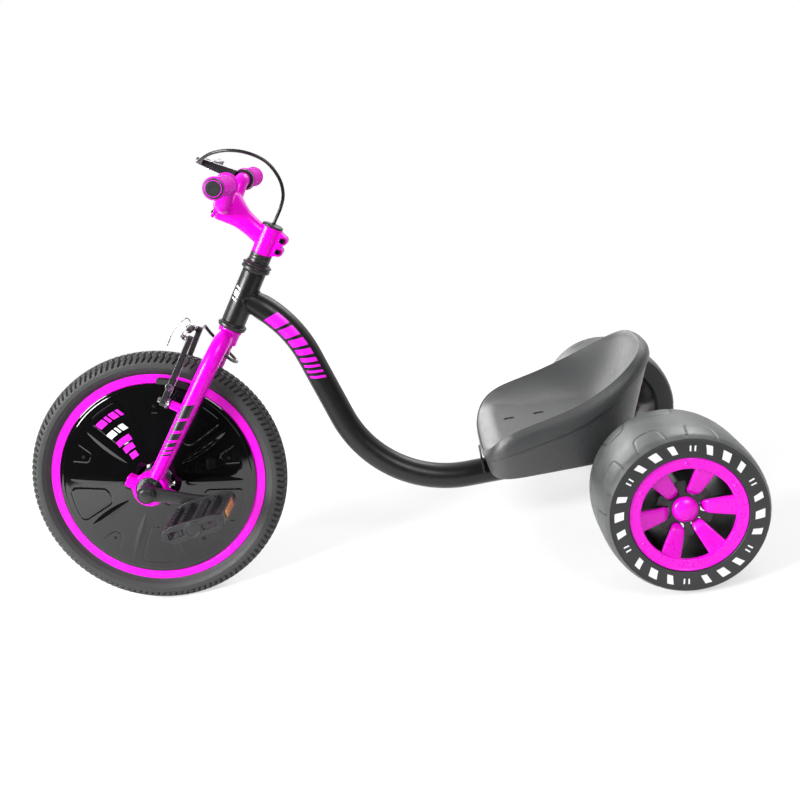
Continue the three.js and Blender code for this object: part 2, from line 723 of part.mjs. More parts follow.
// Split bearing holder: the fork carries the upper half, the clamp is the lower half
function holderHalf(side, upper) {
  const middle = side * legFootSpread;
  const reach = frontBearingOuter + clearance + holderWall;
  const sign = upper ? 1 : -1;
  const outline = new THREE.Shape();
  outline.moveTo(-holderHalfLength, sign * clearance);
  outline.lineTo(holderHalfLength, sign * clearance);
  outline.lineTo(holderHalfLength, sign * holderEar);
  outline.lineTo(0.96 * reach, sign * 1.25 * holderEar);
  outline.absarc(0, 0, reach, sign * 25 * degrees, sign * 155 * degrees, !upper);
  outline.lineTo(-0.96 * reach, sign * 1.25 * holderEar);
  outline.lineTo(-holderHalfLength, sign * holderEar);
  return slab(outline, holderWidth, middle).translate(forkRake, 0, -forkLength);
}
function bearingBore(side) {
  const middle = side * legFootSpread;
  const bore = rod(frontBearingOuter + clearance, middle - holderWidth, middle + holderWidth, tubeSides);
  return bore.translate(forkRake, 0, -forkLength);
}
function holderBolts(side, from, to, radius) {
  const place = holderHalfLength - holderBoltInset;
  return [-place, place].map((x) =>
    move(alongZ(rod(radius, from, to, pinSides)), forkRake + x, side * legFootSpread, -forkLength),
  );
}

function fork() {
  const steererTop = stemTop - steererBelowStem;
  const steerer = alongZ(rod(steererRadius, legStart - crownDepth / 2, steererTop, tubeSides));
  const raceTop = (cupHeight - bearingHeight) / 3;
  const race = alongZ(rod(bearingRadius - turningClearance, -crownDepth / 3, -clearance, tubeSides));
  const raceSeat = alongZ(rod(raceSeatRadius, -crownDepth / 3, raceTop, tubeSides));
  const legs = [1, -1].flatMap((side) => [
    forkLeg(side),
    holderHalf(side, true),
    move(
      alongX(rod(brakeBossRadius, brakeBossRoot, brakeBossEnd, rodSides)),
      0,
      side * brakePivotSpread,
      brakePivotUp - forkLength,
    ),
  ]);
  const bore = alongZ(rod(steererBore, -forkLength / 2, stemTop + overrun, rodSides));
  const bearingBores = [1, -1].map(bearingBore);
  const boltBores = [1, -1].flatMap((side) =>
    holderBolts(side, -holderHalfLength, holderEar - 3 * clearance, holderBoltRadius + clearance),
  );
  return cut(join(steerer, race, raceSeat, ...legs), bore, ...bearingBores, ...boltBores);
}

function axleClamp(side) {
  const headTop = -holderEar + clearance;
  const bolts = holderBolts(side, headTop - 1.2 * holderBoltHead, holderEar - 2, holderBoltRadius);
  const heads = holderBolts(side, headTop - holderBoltHead, headTop, holderBoltHead);
  return join(cut(holderHalf(side, false), bearingBore(side)), ...bolts, ...heads);
}

piece(steering, "fork", fork(), magenta);
for (const [name, side] of [["left", 1], ["right", -1]]) {
  piece(steering, `${name}_axle_clamp`, axleClamp(side), magenta);
  const from = side * legFootSpread - frontBearingWidth / 2;
  const inner = frontBearingInner + turningClearance;
  const bearing = tube(frontBearingOuter, inner, from, from + frontBearingWidth, tubeSides);
  piece(steering, `${name}_front_bearing`, bearing.translate(forkRake, 0, -forkLength), brightSteel);
}
const headBearing = (from) =>
  alongZ(tube(bearingRadius, raceSeatRadius + clearance, from, from + bearingHeight - clearance, tubeSides));
piece(steering, "lower_headset_bearing", headBearing(clearance), brightSteel);
const upperFrom = headsetTop - bearingHeight;
const upperBearing = alongZ(
  tube(bearingRadius, steererRadius + clearance, upperFrom, headsetTop - clearance, tubeSides),
);
piece(steering, "upper_headset_bearing", upperBearing, brightSteel);
const coverBottom = headsetTop + clearance;
piece(
  steering,
  "headset_cover",
  alongZ(
    ring(
      [
        [steererRadius + clearance, coverBottom],
        [cupRadius, coverBottom],
        [cupRadius + 2 * clearance, coverBottom + coverHeight / 3],
        [cupRadius - coverHeight / 3, coverBottom + coverHeight],
        [steererRadius + clearance, coverBottom + coverHeight],
      ],
      tubeSides,
    ),
  ),
  satinBlack,
);
const spacerRadius = 16;
const spacerBottom = coverBottom + coverHeight + clearance;
piece(
  steering,
  "headset_spacer",
  alongZ(tube(spacerRadius, steererRadius + clearance, spacerBottom, spacerBottom + spacerHeight, tubeSides)),
  satinBlack,
);

// Stem and handlebar
const stemReach = 77.5;
const stemRise = 18.5 * degrees;
const clampRadius = 16.6;
const barClampRadius = 12.7;
const barRadius = 11.1;
const stemHalfWidth = 20;
const stemFaceHalf = 25;
const barCentre = new THREE.Vector3(
  stemReach * Math.cos(stemRise),
  0,
  stemBottom + stemHeight / 2 + stemReach * Math.sin(stemRise),
);
const pinchBoltRadius = 3;
const pinchHeadRadius = 5;
const pinchHeadHeight = 4.4;
const pinchBoltBehind = 21.5;
const pinchBoltPlaces = [0.3, 0.72].map((share) => stemBottom + share * stemHeight);
const pinchEarHalf = 11;
const pinchSlit = 2;
const plateGap = 1.2;
const plateThickness = 5;
const plateBoltRadius = 2.5;
const plateBoltReach = 13; // behind the bar's middle
const plateBoltHead = 3.9;
const plateBoltPlace = barClampRadius + 7.8;
const neckHalf = 13;

// Turns a shape drawn about the bar's centre, X along the stem, into its place
const toStem = (geometry) => geometry.rotateY(-stemRise).translate(barCentre.x, barCentre.y, barCentre.z);

const barBore = () =>
  move(
    rod(barClampRadius + clearance, -2 * stemHalfWidth, 2 * stemHalfWidth, tubeSides),
    barCentre.x,
    0,
    barCentre.z,
  );

function stem() {
  const clamp = alongZ(rod(clampRadius, stemBottom, stemTop, tubeSides));
  const earOutline = new THREE.Shape();
  const earBack = -pinchBoltBehind;
  earOutline.moveTo(0, stemBottom);
  earOutline.lineTo(earBack, stemBottom);
  for (const [i, z] of pinchBoltPlaces.entries()) {
    if (i) earOutline.lineTo(earBack - pinchSlit, (z + pinchBoltPlaces[0]) / 2);
    earOutline.absarc(earBack, z, stemHeight * 0.17, -Math.PI / 2, Math.PI / 2, true);
  }
  earOutline.lineTo(0.8 * earBack, stemTop - pinchBoltRadius);
  earOutline.lineTo(0, stemTop);
  const ears = slab(earOutline, 2 * pinchEarHalf);
  const neckSections = [
    { back: 0.92 * stemReach, half: neckHalf, tall: 1.27 * neckHalf },
    { back: 0.62 * stemReach, half: neckHalf, tall: 1.12 * neckHalf },
    { back: 0.4 * stemReach, half: 0.75 * stemHalfWidth, tall: 0.64 * stemFaceHalf },
    { back: 0.2 * stemReach, half: 0.93 * stemHalfWidth, tall: 0.82 * stemFaceHalf },
    { back: 0, half: stemHalfWidth, tall: stemFaceHalf },
  ];
  const sides = tubeSides;
  const neck = toStem(
    loft(
      neckSections.map(({ back, half, tall }, i) => {
        const square = 0.75 - 0.3 * (i / (neckSections.length - 1));
        return Array.from({ length: sides }, (_, k) => {
          const turn = (2 * Math.PI * k) / sides;
          const soft = (value) => Math.sign(value) * Math.abs(value) ** square;
          return new THREE.Vector3(-back, half * soft(Math.cos(turn)), tall * soft(Math.sin(turn)));
        });
      }),
    ),
  );
  const boltHole = plateBoltRadius + clearance;
  const plateBolts = [1, -1].map((end) => {
    const bore = alongX(rod(boltHole, -plateBoltReach - overrun, overrun, pinSides));
    return toStem(move(bore, 0, 0, end * plateBoltPlace));
  });
  const hole = steererRadius + clearance;
  const steererHole = alongZ(rod(hole, stemBottom - overrun, stemTop + overrun, tubeSides));
  const slit = block(
    [-3 * pinchBoltBehind, -pinchSlit / 2, stemBottom - overrun],
    [0, pinchSlit / 2, stemTop + overrun],
  );
  const pinchBores = pinchBoltPlaces.map((z) =>
    move(rod(pinchBoltRadius + clearance, -2 * pinchEarHalf, 2 * pinchEarHalf, rodSides), earBack, 0, z),
  );
  return cut(join(clamp, ears, neck), steererHole, slit, barBore(), ...plateBolts, ...pinchBores);
}

function faceplate() {
  const reach = barClampRadius + clearance + 0.6 * plateThickness;
  const outline = new THREE.Shape();
  outline.moveTo(plateGap, -stemFaceHalf);
  outline.lineTo(plateGap + plateThickness, -0.96 * stemFaceHalf);
  outline.lineTo(plateGap + plateThickness, -reach);
  outline.absarc(0, 0, reach, -62 * degrees, 62 * degrees, false);
  outline.lineTo(plateGap + plateThickness, reach);
  outline.lineTo(plateGap + plateThickness, 0.96 * stemFaceHalf);
  outline.lineTo(plateGap, stemFaceHalf);
  const boltHole = plateBoltRadius + clearance;
  const bolts = [1, -1].map((end) =>
    move(alongX(rod(boltHole, 0, 4 * plateThickness, pinSides)), 0, 0, end * plateBoltPlace),
  );
  return cut(toStem(cut(slab(outline, 2 * stemHalfWidth), ...bolts)), barBore());
}

piece(steering, "stem", stem(), magenta);
piece(steering, "stem_faceplate", faceplate(), magenta);
for (const [name, end] of [["upper", 1], ["lower", -1]]) {
  const headLow = plateGap + plateThickness + clearance;
  const headTop = headLow + plateBoltHead;
  const bolt = turned(
    [
      [0, -plateBoltReach],
      [plateBoltRadius, -plateBoltReach],
      [plateBoltRadius, headLow],
      [plateBoltHead, headLow],
      [plateBoltHead, headTop],
      [0, headTop],
    ],
    pinSides,
  );
  const placed = toStem(move(alongX(bolt), 0, 0, end * plateBoltPlace));
  piece(steering, `faceplate_bolt_${name}`, placed, satinBlack);
}
for (const [i, z] of pinchBoltPlaces.entries()) {
  const face = pinchEarHalf + clearance;
  const bolt = turned(
    [
      [0, -pinchEarHalf],
      [pinchBoltRadius, -pinchEarHalf],
      [pinchBoltRadius, face],
      [pinchHeadRadius, face],
      [pinchHeadRadius, face + 0.75 * pinchHeadHeight],
      [pinchHeadRadius / 2, face + pinchHeadHeight],
      [pinchHeadRadius / 2, face + pinchHeadHeight / 2],
      [0, face + pinchHeadHeight / 2],
    ],
    rodSides,
  );
  piece(steering, `pinch_bolt_${i ? "upper" : "lower"}`, move(bolt, -pinchBoltBehind, 0, z), satinBlack);
}

// Top cap, with a hole for the brake cable
const cableRadius = 2.5;
const capRadius = 15.4;
const capHeight = 5.2;
const capBottom = stemTop + clearance;
const topCap = alongZ(
  ring(
    [
      [cableRadius + clearance, capBottom],
      [capRadius, capBottom],
      [capRadius, capBottom + capHeight / 2],
      [0.8 * capRadius, capBottom + 0.85 * capHeight],
      [cableRadius + clearance, capBottom + capHeight],
    ],
    tubeSides,
  ),
);
piece(steering, "top_cap", topCap, satinBlack);

// Handlebar: straight in the clamp, up through two bends a side, straight under the grips
const barRise = 36;
const barHalf = 160;
const barStraightHalf = 21;
const barBendRadius = 18;
const barBendAngle = 72 * degrees;
const capThickness = 3.6;

function handlebarStations() {
  const slopeLength =
    (barRise - 2 * barBendRadius * (1 - Math.cos(barBendAngle))) / Math.sin(barBendAngle);
  const half = [];
  const at = new THREE.Vector3(0, barStraightHalf, 0);
  const heading = (slope) => new THREE.Vector3(0, Math.cos(slope), Math.sin(slope));
  const note = (slope, radius) => half.push({ at: at.clone(), along: heading(slope), radius });
  const bend = (from, to, radius) => {
    const steps = 3;
    for (let k = 0; k < steps; k++) {
      const step = (to - from) / steps;
      at.addScaledVector(heading(from + (k + 0.5) * step), 2 * barBendRadius * Math.sin(Math.abs(step) / 2));
      note(from + (k + 1) * step, radius);
    }
  };
  note(0, barClampRadius);
  bend(0, barBendAngle, barClampRadius);
  at.addScaledVector(heading(barBendAngle), slopeLength);
  note(barBendAngle, (barClampRadius + barRadius) / 2);
  bend(barBendAngle, 0, barRadius);
  const bendEnd = at.y;
  at.y = barHalf;
  note(0, barRadius);
  const mirrored = half
    .map(({ at: place, along, radius }) => ({
      at: new THREE.Vector3(place.x, -place.y, place.z),
      along: new THREE.Vector3(along.x, along.y, -along.z),
      radius,
    }))
    .reverse();
  return { stations: [...mirrored, ...half], bendEnd };
}
const { stations: barStations, bendEnd } = handlebarStations();
const plugRadius = 8.5;
const plugDepth = 12;
const barAxis = barCentre.z + barRise;
const endBores = [1, -1].map((side) =>
  side > 0
    ? rod(plugRadius, barHalf - plugDepth, barHalf + overrun, tubeSides)
    : rod(plugRadius, -barHalf - overrun, -barHalf + plugDepth, tubeSides),
);
const handlebar = cut(
  roundBar(barStations, new THREE.Vector3(1, 0, 0), tubeSides),
  ...endBores.map((bore) => move(bore, 0, 0, barRise)),
);
piece(steering, "handlebar", move(handlebar, barCentre.x, 0, barCentre.z), magenta);

// Grips: ribbed rubber with a flange at each end, and a black end cap
const gripRadius = 14.3;
const gripFlange = 17;
const gripFlangeWidth = 5; // at each end of the grip
const perchWidth = 12;
const perchSpace = 1; // beside the perch, to the bend and to the grip
const perchStart = bendEnd + perchSpace;
const gripStart = perchStart + perchWidth + perchSpace;
const gripLength = barHalf - gripStart;
function grip() {
  const inner = barRadius + 2 * clearance;
  return ring(
    [
      [inner, gripStart],
      [0.92 * gripFlange, gripStart],
      [gripFlange, gripStart + gripFlangeWidth / 2],
      [gripRadius, gripStart + gripFlangeWidth],
      [gripRadius, barHalf - gripFlangeWidth],
      [1.09 * gripRadius, barHalf - gripFlangeWidth / 2],
      [gripRadius, barHalf],
      [inner, barHalf],
    ],
    tubeSides,
  );
}
function barCap() {
  const face = barHalf + clearance;
  return turned(
    [
      [0, barHalf - plugDepth + clearance],
      [plugRadius - clearance, barHalf - plugDepth + clearance],
      [plugRadius - clearance, face],
      [0.93 * gripRadius, face],
      [0.93 * gripRadius, face + capThickness / 2],
      [0.79 * gripRadius, face + capThickness],
      [0, face + capThickness],
    ],
    tubeSides,
  );
}
for (const [name, turn] of [["left", 0], ["right", Math.PI]]) {
  const end = new THREE.Group();
  end.position.set(barCentre.x, 0, barAxis);
  end.rotation.z = turn;
  steering.add(end);
  piece(end, `${name}_grip`, grip(), magentaRubber);
  piece(end, `${name}_bar_cap`, barCap(), satinBlack);
}

// Brake lever on the right of the bar. The group stands at the bar's axis, X forward.
const leverSide = new THREE.Group();
leverSide.position.set(barCentre.x, 0, barAxis);
steering.add(leverSide);
const perchRadius = 15.6;
const perchEnd = perchStart + perchWidth;
const perchThickness = 13;
const perchTaper = 1;
const leverPivotAhead = 54;
const leverPivotAcross = -(perchStart + perchWidth / 2);
const pivotPinRadius = 2.4;
const leverThickness = 5;
const leverNose = 17; // how far the lever's root stands ahead of its pin
const leverReach = 92; // from the pivot to the tip, along the grip
const leverSlotBack = 11;
const leverSlotPast = 4;
const leverWideGap = 8; // from the perch to where the blade widens
const adjusterAhead = 70;
const adjusterRadius = 4.4;
const adjusterLength = 7; // outside the perch
const adjusterSocket = 6;
const adjusterBore = 1.4;
const adjusterEnd = adjusterLength - perchStart;

function leverPerch() {
  const half = perchThickness / 2;
  const slotHalf = leverThickness / 2 + clearance;
  const nose = adjusterAhead + adjusterRadius + 2 * perchTaper;
  const outline = [
    [perchRadius / 2, -half],
    [leverPivotAhead, perchTaper - half],
    [nose, 2 * perchTaper - half],
    [nose, half - 2 * perchTaper],
    [leverPivotAhead, half - perchTaper],
    [perchRadius / 2, half + 3 * perchTaper],
  ];
  const body = join(
    rod(perchRadius, -perchEnd, -perchStart, tubeSides),
    slab(outline, perchWidth, leverPivotAcross),
    move(rod(adjusterRadius, leverPivotAcross, adjusterEnd, rodSides), adjusterAhead, 0, 0),
  );
  const slot = block(
    [leverPivotAhead - leverSlotBack, -perchEnd - overrun, -slotHalf],
    [leverPivotAhead + leverNose + 3 * clearance, leverPivotAcross + leverSlotPast, slotHalf],
  );
  const barHole = rod(barRadius + clearance, -perchEnd - overrun, -perchStart + overrun, tubeSides);
  const socketFrom = adjusterEnd - adjusterSocket;
  const bores = [
    rod(adjusterBore, leverPivotAcross - overrun, socketFrom, pinSides),
    rod(cableRadius + clearance, socketFrom, adjusterEnd + overrun, pinSides),
  ].map((bore) => move(bore, adjusterAhead, 0, 0));
  const pin = alongZ(rod(pivotPinRadius, -half - perchTaper / 2, half + perchTaper / 2, pinSides));
  return join(cut(body, slot, barHole, ...bores), move(pin, leverPivotAhead, leverPivotAcross, 0));
}
piece(leverSide, "lever_perch", leverPerch(), satinBlack);

function brakeLever() {
  const at = (ahead, along) => [leverPivotAhead + ahead * leverNose, leverPivotAcross - along];
  const blade = [
    at(-0.26, -0.12 * leverNose),
    at(0.82, -0.12 * leverNose),
    at(1, 0.35 * leverNose),
    at(0.76, 1.3 * leverNose),
    at(0.35, 0.5 * leverReach),
    at(0.3, 0.93 * leverReach),
    at(0.47, leverReach),
    at(0.18, 1.02 * leverReach),
    at(-0.18, 0.96 * leverReach),
    at(-0.18, 0.5 * leverReach),
    at(0.06, 1.4 * leverNose),
    at(-0.35, 0.47 * leverNose),
  ];
  const outside = block(
    [0, -2 * barHalf, -leverThickness],
    [2 * adjusterAhead, -(perchEnd + leverWideGap), leverThickness],
  );
  const wide = common(sheet(blade, 2 * leverThickness), outside);
  const hole = alongZ(rod(pivotPinRadius + clearance, -perchThickness, perchThickness, pinSides));
  return cut(join(sheet(blade, leverThickness), wide), move(hole, leverPivotAhead, leverPivotAcross, 0));
}
piece(leverSide, "brake_lever", brakeLever(), satinBlack);

// Brake cable: out of the adjuster, over in an arch, down through the top cap and the steerer,
// out under the crown and round behind the right leg to the brake. Points by hand, in the
// steering frame; the first and last runs follow the sizes of what they enter.
const noodleAhead = 46;
const armTopHeight = -27; // of the brake arms' tips, in the steering frame
const anchorBelowTip = 6;
const noodleHeight = armTopHeight - anchorBelowTip;
const noodleOuterAcross = -64;
const cablePoints = [
  [barCentre.x + adjusterAhead, adjusterEnd - adjusterSocket + 2 * clearance, barAxis],
  [barCentre.x + adjusterAhead, adjusterEnd + 8, barAxis],
  [139, -27, 205],
  [125, -9, 223],
  [102, 4, 239],
  [73, 9, 248],
  [43, 8, 247],
  [18, 6, 233],
  [4, 3, 214],
  [0, 0, 194],
  [0, 0, 170],
  [0, 0, 120],
  [0, 0, 60],
  [0, 0, 0],
  [0, 0, -26],
  [-4, -4, -42],
  [-15, -16, -51],
  [-23, -34, -57],
  [-22, -56, -61],
  [-8, -73, -60],
  [14, -80, -52],
  [34, -77, -42],
  [noodleAhead - 1, noodleOuterAcross - 8, noodleHeight - 1],
  [noodleAhead, noodleOuterAcross - 4, noodleHeight],
  [noodleAhead, noodleOuterAcross - 3 * clearance, noodleHeight],
].map((p) => new THREE.Vector3(...p));
function cord(points, radius, sides, steps) {
  const section = Array.from({ length: sides }, (_, k) => {
    const turn = (2 * Math.PI * k) / sides;
    return new THREE.Vector2(radius * Math.cos(turn), radius * Math.sin(turn));
  });
  const path = new THREE.CatmullRomCurve3(points, false, "centripetal");
  const settings = { steps, extrudePath: path, bevelEnabled: false };
  return new THREE.ExtrudeGeometry(new THREE.Shape(section), settings);
}
piece(steering, "brake_cable", geometryOf(solidOf(cord(cablePoints, cableRadius, 6, 36))), satinBlack);

// Linear-pull brake on the front of the fork: each arm turns on its boss
const armHubRadius = 7.6;
const armFront = 50;
const armThickness = 8;
const armTopSpread = 33;
const armRootHalf = 5;
const armTipHalf = 4;
const armPadRise = 8; // above the stud, where the arm begins to lean in
const armBoltHead = 4.6;
const anchorRadius = 4;
const padWasherRadius = 5.4;
const padNutRadius = 5;
const anchorTop = armFront + 2; // the face that the noodle and the wire's clamp sit on
const padBelowRim = 4.2; // the middle of the brake track
const padRadius = rimRadius - padBelowRim;
const padHeight = 7.6;
const padThickness = 11;
const padGap = 2.2;
const padHalfAngle = 8.5 * degrees;
const rimHalfWidth = 14;
const padMiddle = armFront - armThickness / 2 - forkRake; // ahead of the axle's plane
const padAngle = Math.asin(padMiddle / padRadius);
const padStudRadius = 3;
const padStud = { x: armFront - armThickness / 2, z: padRadius * Math.cos(padAngle) - forkLength };

function brakeArm(side) {
  const pivotZ = brakePivotUp - forkLength;
  const ahead = (radius, from, to) => alongX(rod(radius, from, to, rodSides));
  const onPivot = (part) => move(part, 0, side * brakePivotSpread, pivotZ);
  const plan = [
    [brakePivotSpread - armRootHalf, pivotZ - 0.6 * armRootHalf],
    [brakePivotSpread + 1.2 * armRootHalf, pivotZ - 0.6 * armRootHalf],
    [brakePivotSpread + 0.9 * armRootHalf, padStud.z + armPadRise],
    [brakePivotSpread - 0.2 * armRootHalf, padStud.z + 3.5 * armPadRise],
    [armTopSpread + 1.25 * armTipHalf, armTopHeight - armTipHalf],
    [armTopSpread + armTipHalf, armTopHeight],
    [armTopSpread - armTipHalf, armTopHeight],
    [armTopSpread - 1.25 * armTipHalf, armTopHeight - 1.5 * armTipHalf],
    [brakePivotSpread - 1.8 * armRootHalf, padStud.z + 3.75 * armPadRise],
    [brakePivotSpread - 1.1 * armRootHalf, padStud.z + armPadRise],
  ];
  const plate = sheet(plan.map(([across, up]) => [side * across, up]), armThickness)
    .rotateY(Math.PI / 2)
    .rotateX(Math.PI / 2)
    .translate(padStud.x, 0, 0);
  const hub = onPivot(ahead(armHubRadius, brakeBossEnd + clearance, armFront));
  const boltHead = onPivot(ahead(armBoltHead, armFront, armFront + armBoltHead));
  const anchor = ahead(anchorRadius, armFront - armThickness, anchorTop);
  const studHole = rod(padStudRadius + clearance, -2 * brakePivotSpread, 2 * brakePivotSpread, rodSides);
  return cut(
    join(hub, boltHead, plate, move(anchor, 0, side * armTopSpread, noodleHeight)),
    move(studHole, padStud.x, 0, padStud.z),
  );
}

// A pad is a short arc of the brake track's own radius, on a stud through the arm
function brakePad(side) {
  const [from, to] = [Math.PI / 2 - padHalfAngle, Math.PI / 2 + padHalfAngle];
  const arc = new THREE.Shape();
  arc.absarc(0, 0, padRadius + padHeight / 2, from, to, false);
  arc.absarc(0, 0, padRadius - padHeight / 2, to, from, true);
  const inner = rimHalfWidth + padGap;
  const shoe = slab(arc, padThickness, side * (inner + padThickness / 2))
    .rotateY(padAngle)
    .translate(forkRake, 0, -forkLength);
  const armInner = brakePivotSpread - 1.1 * armRootHalf;
  const armOuter = brakePivotSpread + 0.92 * armRootHalf;
  const stud = rod(padStudRadius, inner + padThickness / 2, armOuter + 1.4 * padNutRadius, rodSides);
  const washer = rod(padWasherRadius, inner + 0.9 * padThickness, armInner - 4 * clearance, rodSides);
  const nut = rod(padNutRadius, armOuter + 2 * clearance, armOuter + padNutRadius, pinSides);
  const hardware = [stud, washer, nut].map((part) => {
    if (side < 0) part.rotateZ(Math.PI);
    return move(part, padStud.x, 0, padStud.z);
  });
  return join(shoe, ...hardware);
}

for (const [name, side] of [["left", 1], ["right", -1]]) {
  piece(steering, `${name}_brake_arm`, brakeArm(side), satinBlack);
  piece(steering, `${name}_brake_pad`, brakePad(side), blackRubber);
}

// The noodle guides the cable into the right arm; its boot covers the bare wire
const noodleRadius = 2.6;
const wireRadius = 0.9;
const bootLength = 19;
const bootRadius = 4.9;
const bootWall = 0.9;
const bootCollar = 3;
const bootTaper = 4;
const saddleRadius = 3.4;
const crimpRadius = 1.7;
const crimpLength = 12;
const noodleInner = -(armTopSpread - 1.5 * armTipHalf);
const wireAhead = anchorTop + bootRadius + 2 * clearance;
function noodle() {
  const bend = [
    [noodleAhead, noodleOuterAcross, noodleHeight],
    [noodleAhead + 1, noodleOuterAcross + 10, noodleHeight],
    [wireAhead, noodleOuterAcross + 20, noodleHeight],
    [wireAhead, noodleInner - 6, noodleHeight],
    [wireAhead, noodleInner, noodleHeight],
  ].map((p) => new THREE.Vector3(...p));
  const pipe = cord(bend, noodleRadius, 6, 8);
  const bootEnd = noodleInner + bootLength;
  const boot = move(
    turned(
      [
        [0, noodleInner - bootCollar],
        [bootRadius, noodleInner - bootCollar],
        [bootRadius, bootEnd - bootTaper],
        [bootRadius - bootWall / 2, bootEnd],
        [bootRadius - bootWall, bootEnd],
        [bootRadius - bootWall, noodleInner],
        [0, noodleInner],
      ],
      rodSides,
    ),
    wireAhead,
    0,
    noodleHeight,
  );
  const saddle = alongX(rod(saddleRadius, anchorTop + clearance, wireAhead, pinSides));
  return join(pipe, boot, move(saddle, 0, -armTopSpread, noodleHeight));
}
piece(steering, "brake_noodle", noodle(), brightSteel);

function brakeWire() {
  const start = noodleInner + bootLength - bootCollar;
  const route = [
    [wireAhead, start, noodleHeight],
    [wireAhead, armTopSpread, noodleHeight],
    [wireAhead + 1, armTopSpread + 4, noodleHeight + 12],
    [wireAhead - 3, armTopSpread + 3, noodleHeight + 24],
    [wireAhead + 3, armTopSpread + 2, noodleHeight + 29],
    [wireAhead + 10, armTopSpread + 1, noodleHeight + 20],
    [wireAhead + 15, armTopSpread + 1, noodleHeight + 4],
    [wireAhead + 16, armTopSpread + 1, noodleHeight - 12],
  ].map((p) => new THREE.Vector3(...p));
  const wire = cord(route, wireRadius, 5, 20);
  const end = route[route.length - 1];
  const crimp = alongZ(rod(crimpRadius, -0.75 * crimpLength, 0.25 * crimpLength, pinSides));
  const boltTop = wireAhead + wireRadius + 5 * clearance;
  const clampBolt = alongX(rod(anchorRadius, anchorTop + clearance, boltTop, pinSides));
  return join(wire, move(crimp, end.x, end.y, end.z), move(clampBolt, 0, armTopSpread, noodleHeight));
}
piece(steering, "brake_wire", brakeWire(), brightSteel);

// Front wheel, about its axle, square to the trike
const frontWheel = new THREE.Group();
frontWheel.position.set(forkRake, 0, -forkLength);
frontWheel.rotation.y = headAngleFromUpright;
steering.add(frontWheel);
const rimBandWidth = 9.6;
const rimBandInner = rimRadius - rimBandWidth;
const rimWall = 2;
const rimFlange = 6; // from the bead seat out to the rim's edge
const rimBevel = 4;
const tyreWall = 3;
const rimWellDepth = 3.4;
const rimWellRadius = rimBandInner - rimWellDepth;
const spokeCount = 6; // to each side
const spokeRadius = 1.3;
const spokeLead = 35 * degrees; // how far round the wheel a spoke runs
const spokeGap = 1.7; // to the rim's well, where the nipple sits
const hubFlangeAcross = 25;
const hubFlangeRadius = 24;
const hubFlangeThickness = 3;
const hubBarrelRadius = 17;
const hubCollarRadius = 15;
const hubCollarLength = 12;
const squareHalf = 6.4; // of the spindle's square ends
const coverHoleRadius = 36;
const coverSheet = 1.6;
const coverDish = 31;
const crankLength = 89;
const crankDrop = 18.4 * degrees;
const crankInner = 68;
const crankOuter = 85;
const crankBossRadius = 13.4;
const crankCapDepth = 4; // solid metal over the end of the square
const crankBevel = 1.5;
const crankThickness = 9;
const crankArmInner = crankOuter - crankCapDepth - crankThickness;
const crankSwing = 4; // how far the eye stands outside the boss
const crankEyeRadius = 9.6;

function frontTyre() {
  const half = frontTyreWidth / 2;
  const beadHalf = rimHalfWidth - rimWall - clearance;
  const beadRadius = rimRadius - rimFlange;
  const bulgeRadius = rimRadius + 0.5 * (frontTyreRadius - rimRadius);
  const side = [
    [bulgeRadius, half],
    [frontTyreRadius - 0.14 * (frontTyreRadius - rimRadius), 0.78 * half],
    [frontTyreRadius, 0.26 * half],
  ];
  const flankRadius = rimRadius + rimFlange;
  return ring(
    [
      [beadRadius, -beadHalf],
      [rimRadius + 2 * clearance, -beadHalf],
      [flankRadius, -0.78 * half],
      ...side.map(([radius, across]) => [radius, -across]),
      ...side.reverse(),
      [flankRadius, 0.78 * half],
      [rimRadius + 2 * clearance, beadHalf],
      [beadRadius, beadHalf],
      [beadRadius, beadHalf - tyreWall],
      [bulgeRadius + tyreWall, half - 3 * tyreWall],
      [bulgeRadius + tyreWall, 3 * tyreWall - half],
      [beadRadius, tyreWall - beadHalf],
    ],
    hugeSides,
  );
}

function frontRim() {
  const half = rimHalfWidth;
  return ring(
    [
      [rimWellRadius, rimBevel - half],
      [rimBandInner, -half],
      [rimRadius, -half],
      [rimRadius, -half + rimWall],
      [rimRadius - rimFlange - clearance, -half + rimWall],
      [rimRadius - rimFlange - clearance, half - rimWall],
      [rimRadius, half - rimWall],
      [rimRadius, half],
      [rimBandInner, half],
      [rimWellRadius, half - rimBevel],
    ],
    hugeSides,
  );
}

// A cover is a dished disc with pressed radial creases, held on the rim's shoulder
function wheelCover(side) {
  const creases = 12;
  const around = 2 * creases;
  const outer = rimBandInner - turningClearance;
  const rimPlane = rimHalfWidth + clearance;
  const places = [
    { radius: coverHoleRadius, across: coverDish, crease: 0 },
    { radius: 0.6 * outer, across: rimPlane + 0.6 * (coverDish - rimPlane), crease: 1.8 },
    { radius: outer - 9, across: rimPlane + 2 * coverSheet, crease: 0 },
    { radius: outer, across: rimPlane + coverSheet, crease: 0 },
  ];
  const ringAt = ({ radius, across, crease }, back) =>
    Array.from({ length: around }, (_, k) => {
      const turn = (2 * Math.PI * k) / around;
      const lift = crease * (k % 2 ? 0 : 1) - (back ? coverSheet : 0);
      return new THREE.Vector3(radius * Math.sin(turn), side * (across + lift), radius * Math.cos(turn));
    });
  const rings = [...places.map((p) => ringAt(p, false)), ...places.map((p) => ringAt(p, true)).reverse()];
  return closedRings(rings);
}

// Rings joined one to the next and the last to the first, as a solid with a hole through it
function closedRings(rings) {
  const count = rings[0].length;
  const corners = [];
  rings.forEach((_, r) => {
    const next = (r + 1) % rings.length;
    for (let k = 0; k < count; k++) {
      const l = (k + 1) % count;
      corners.push(r * count + k, r * count + l, next * count + k);
      corners.push(r * count + l, next * count + l, next * count + k);
    }
  });
  const geometry = new THREE.BufferGeometry().setFromPoints(rings.flat());
  geometry.setIndex(corners);
  return geometryOf(solidOf(geometry));
}

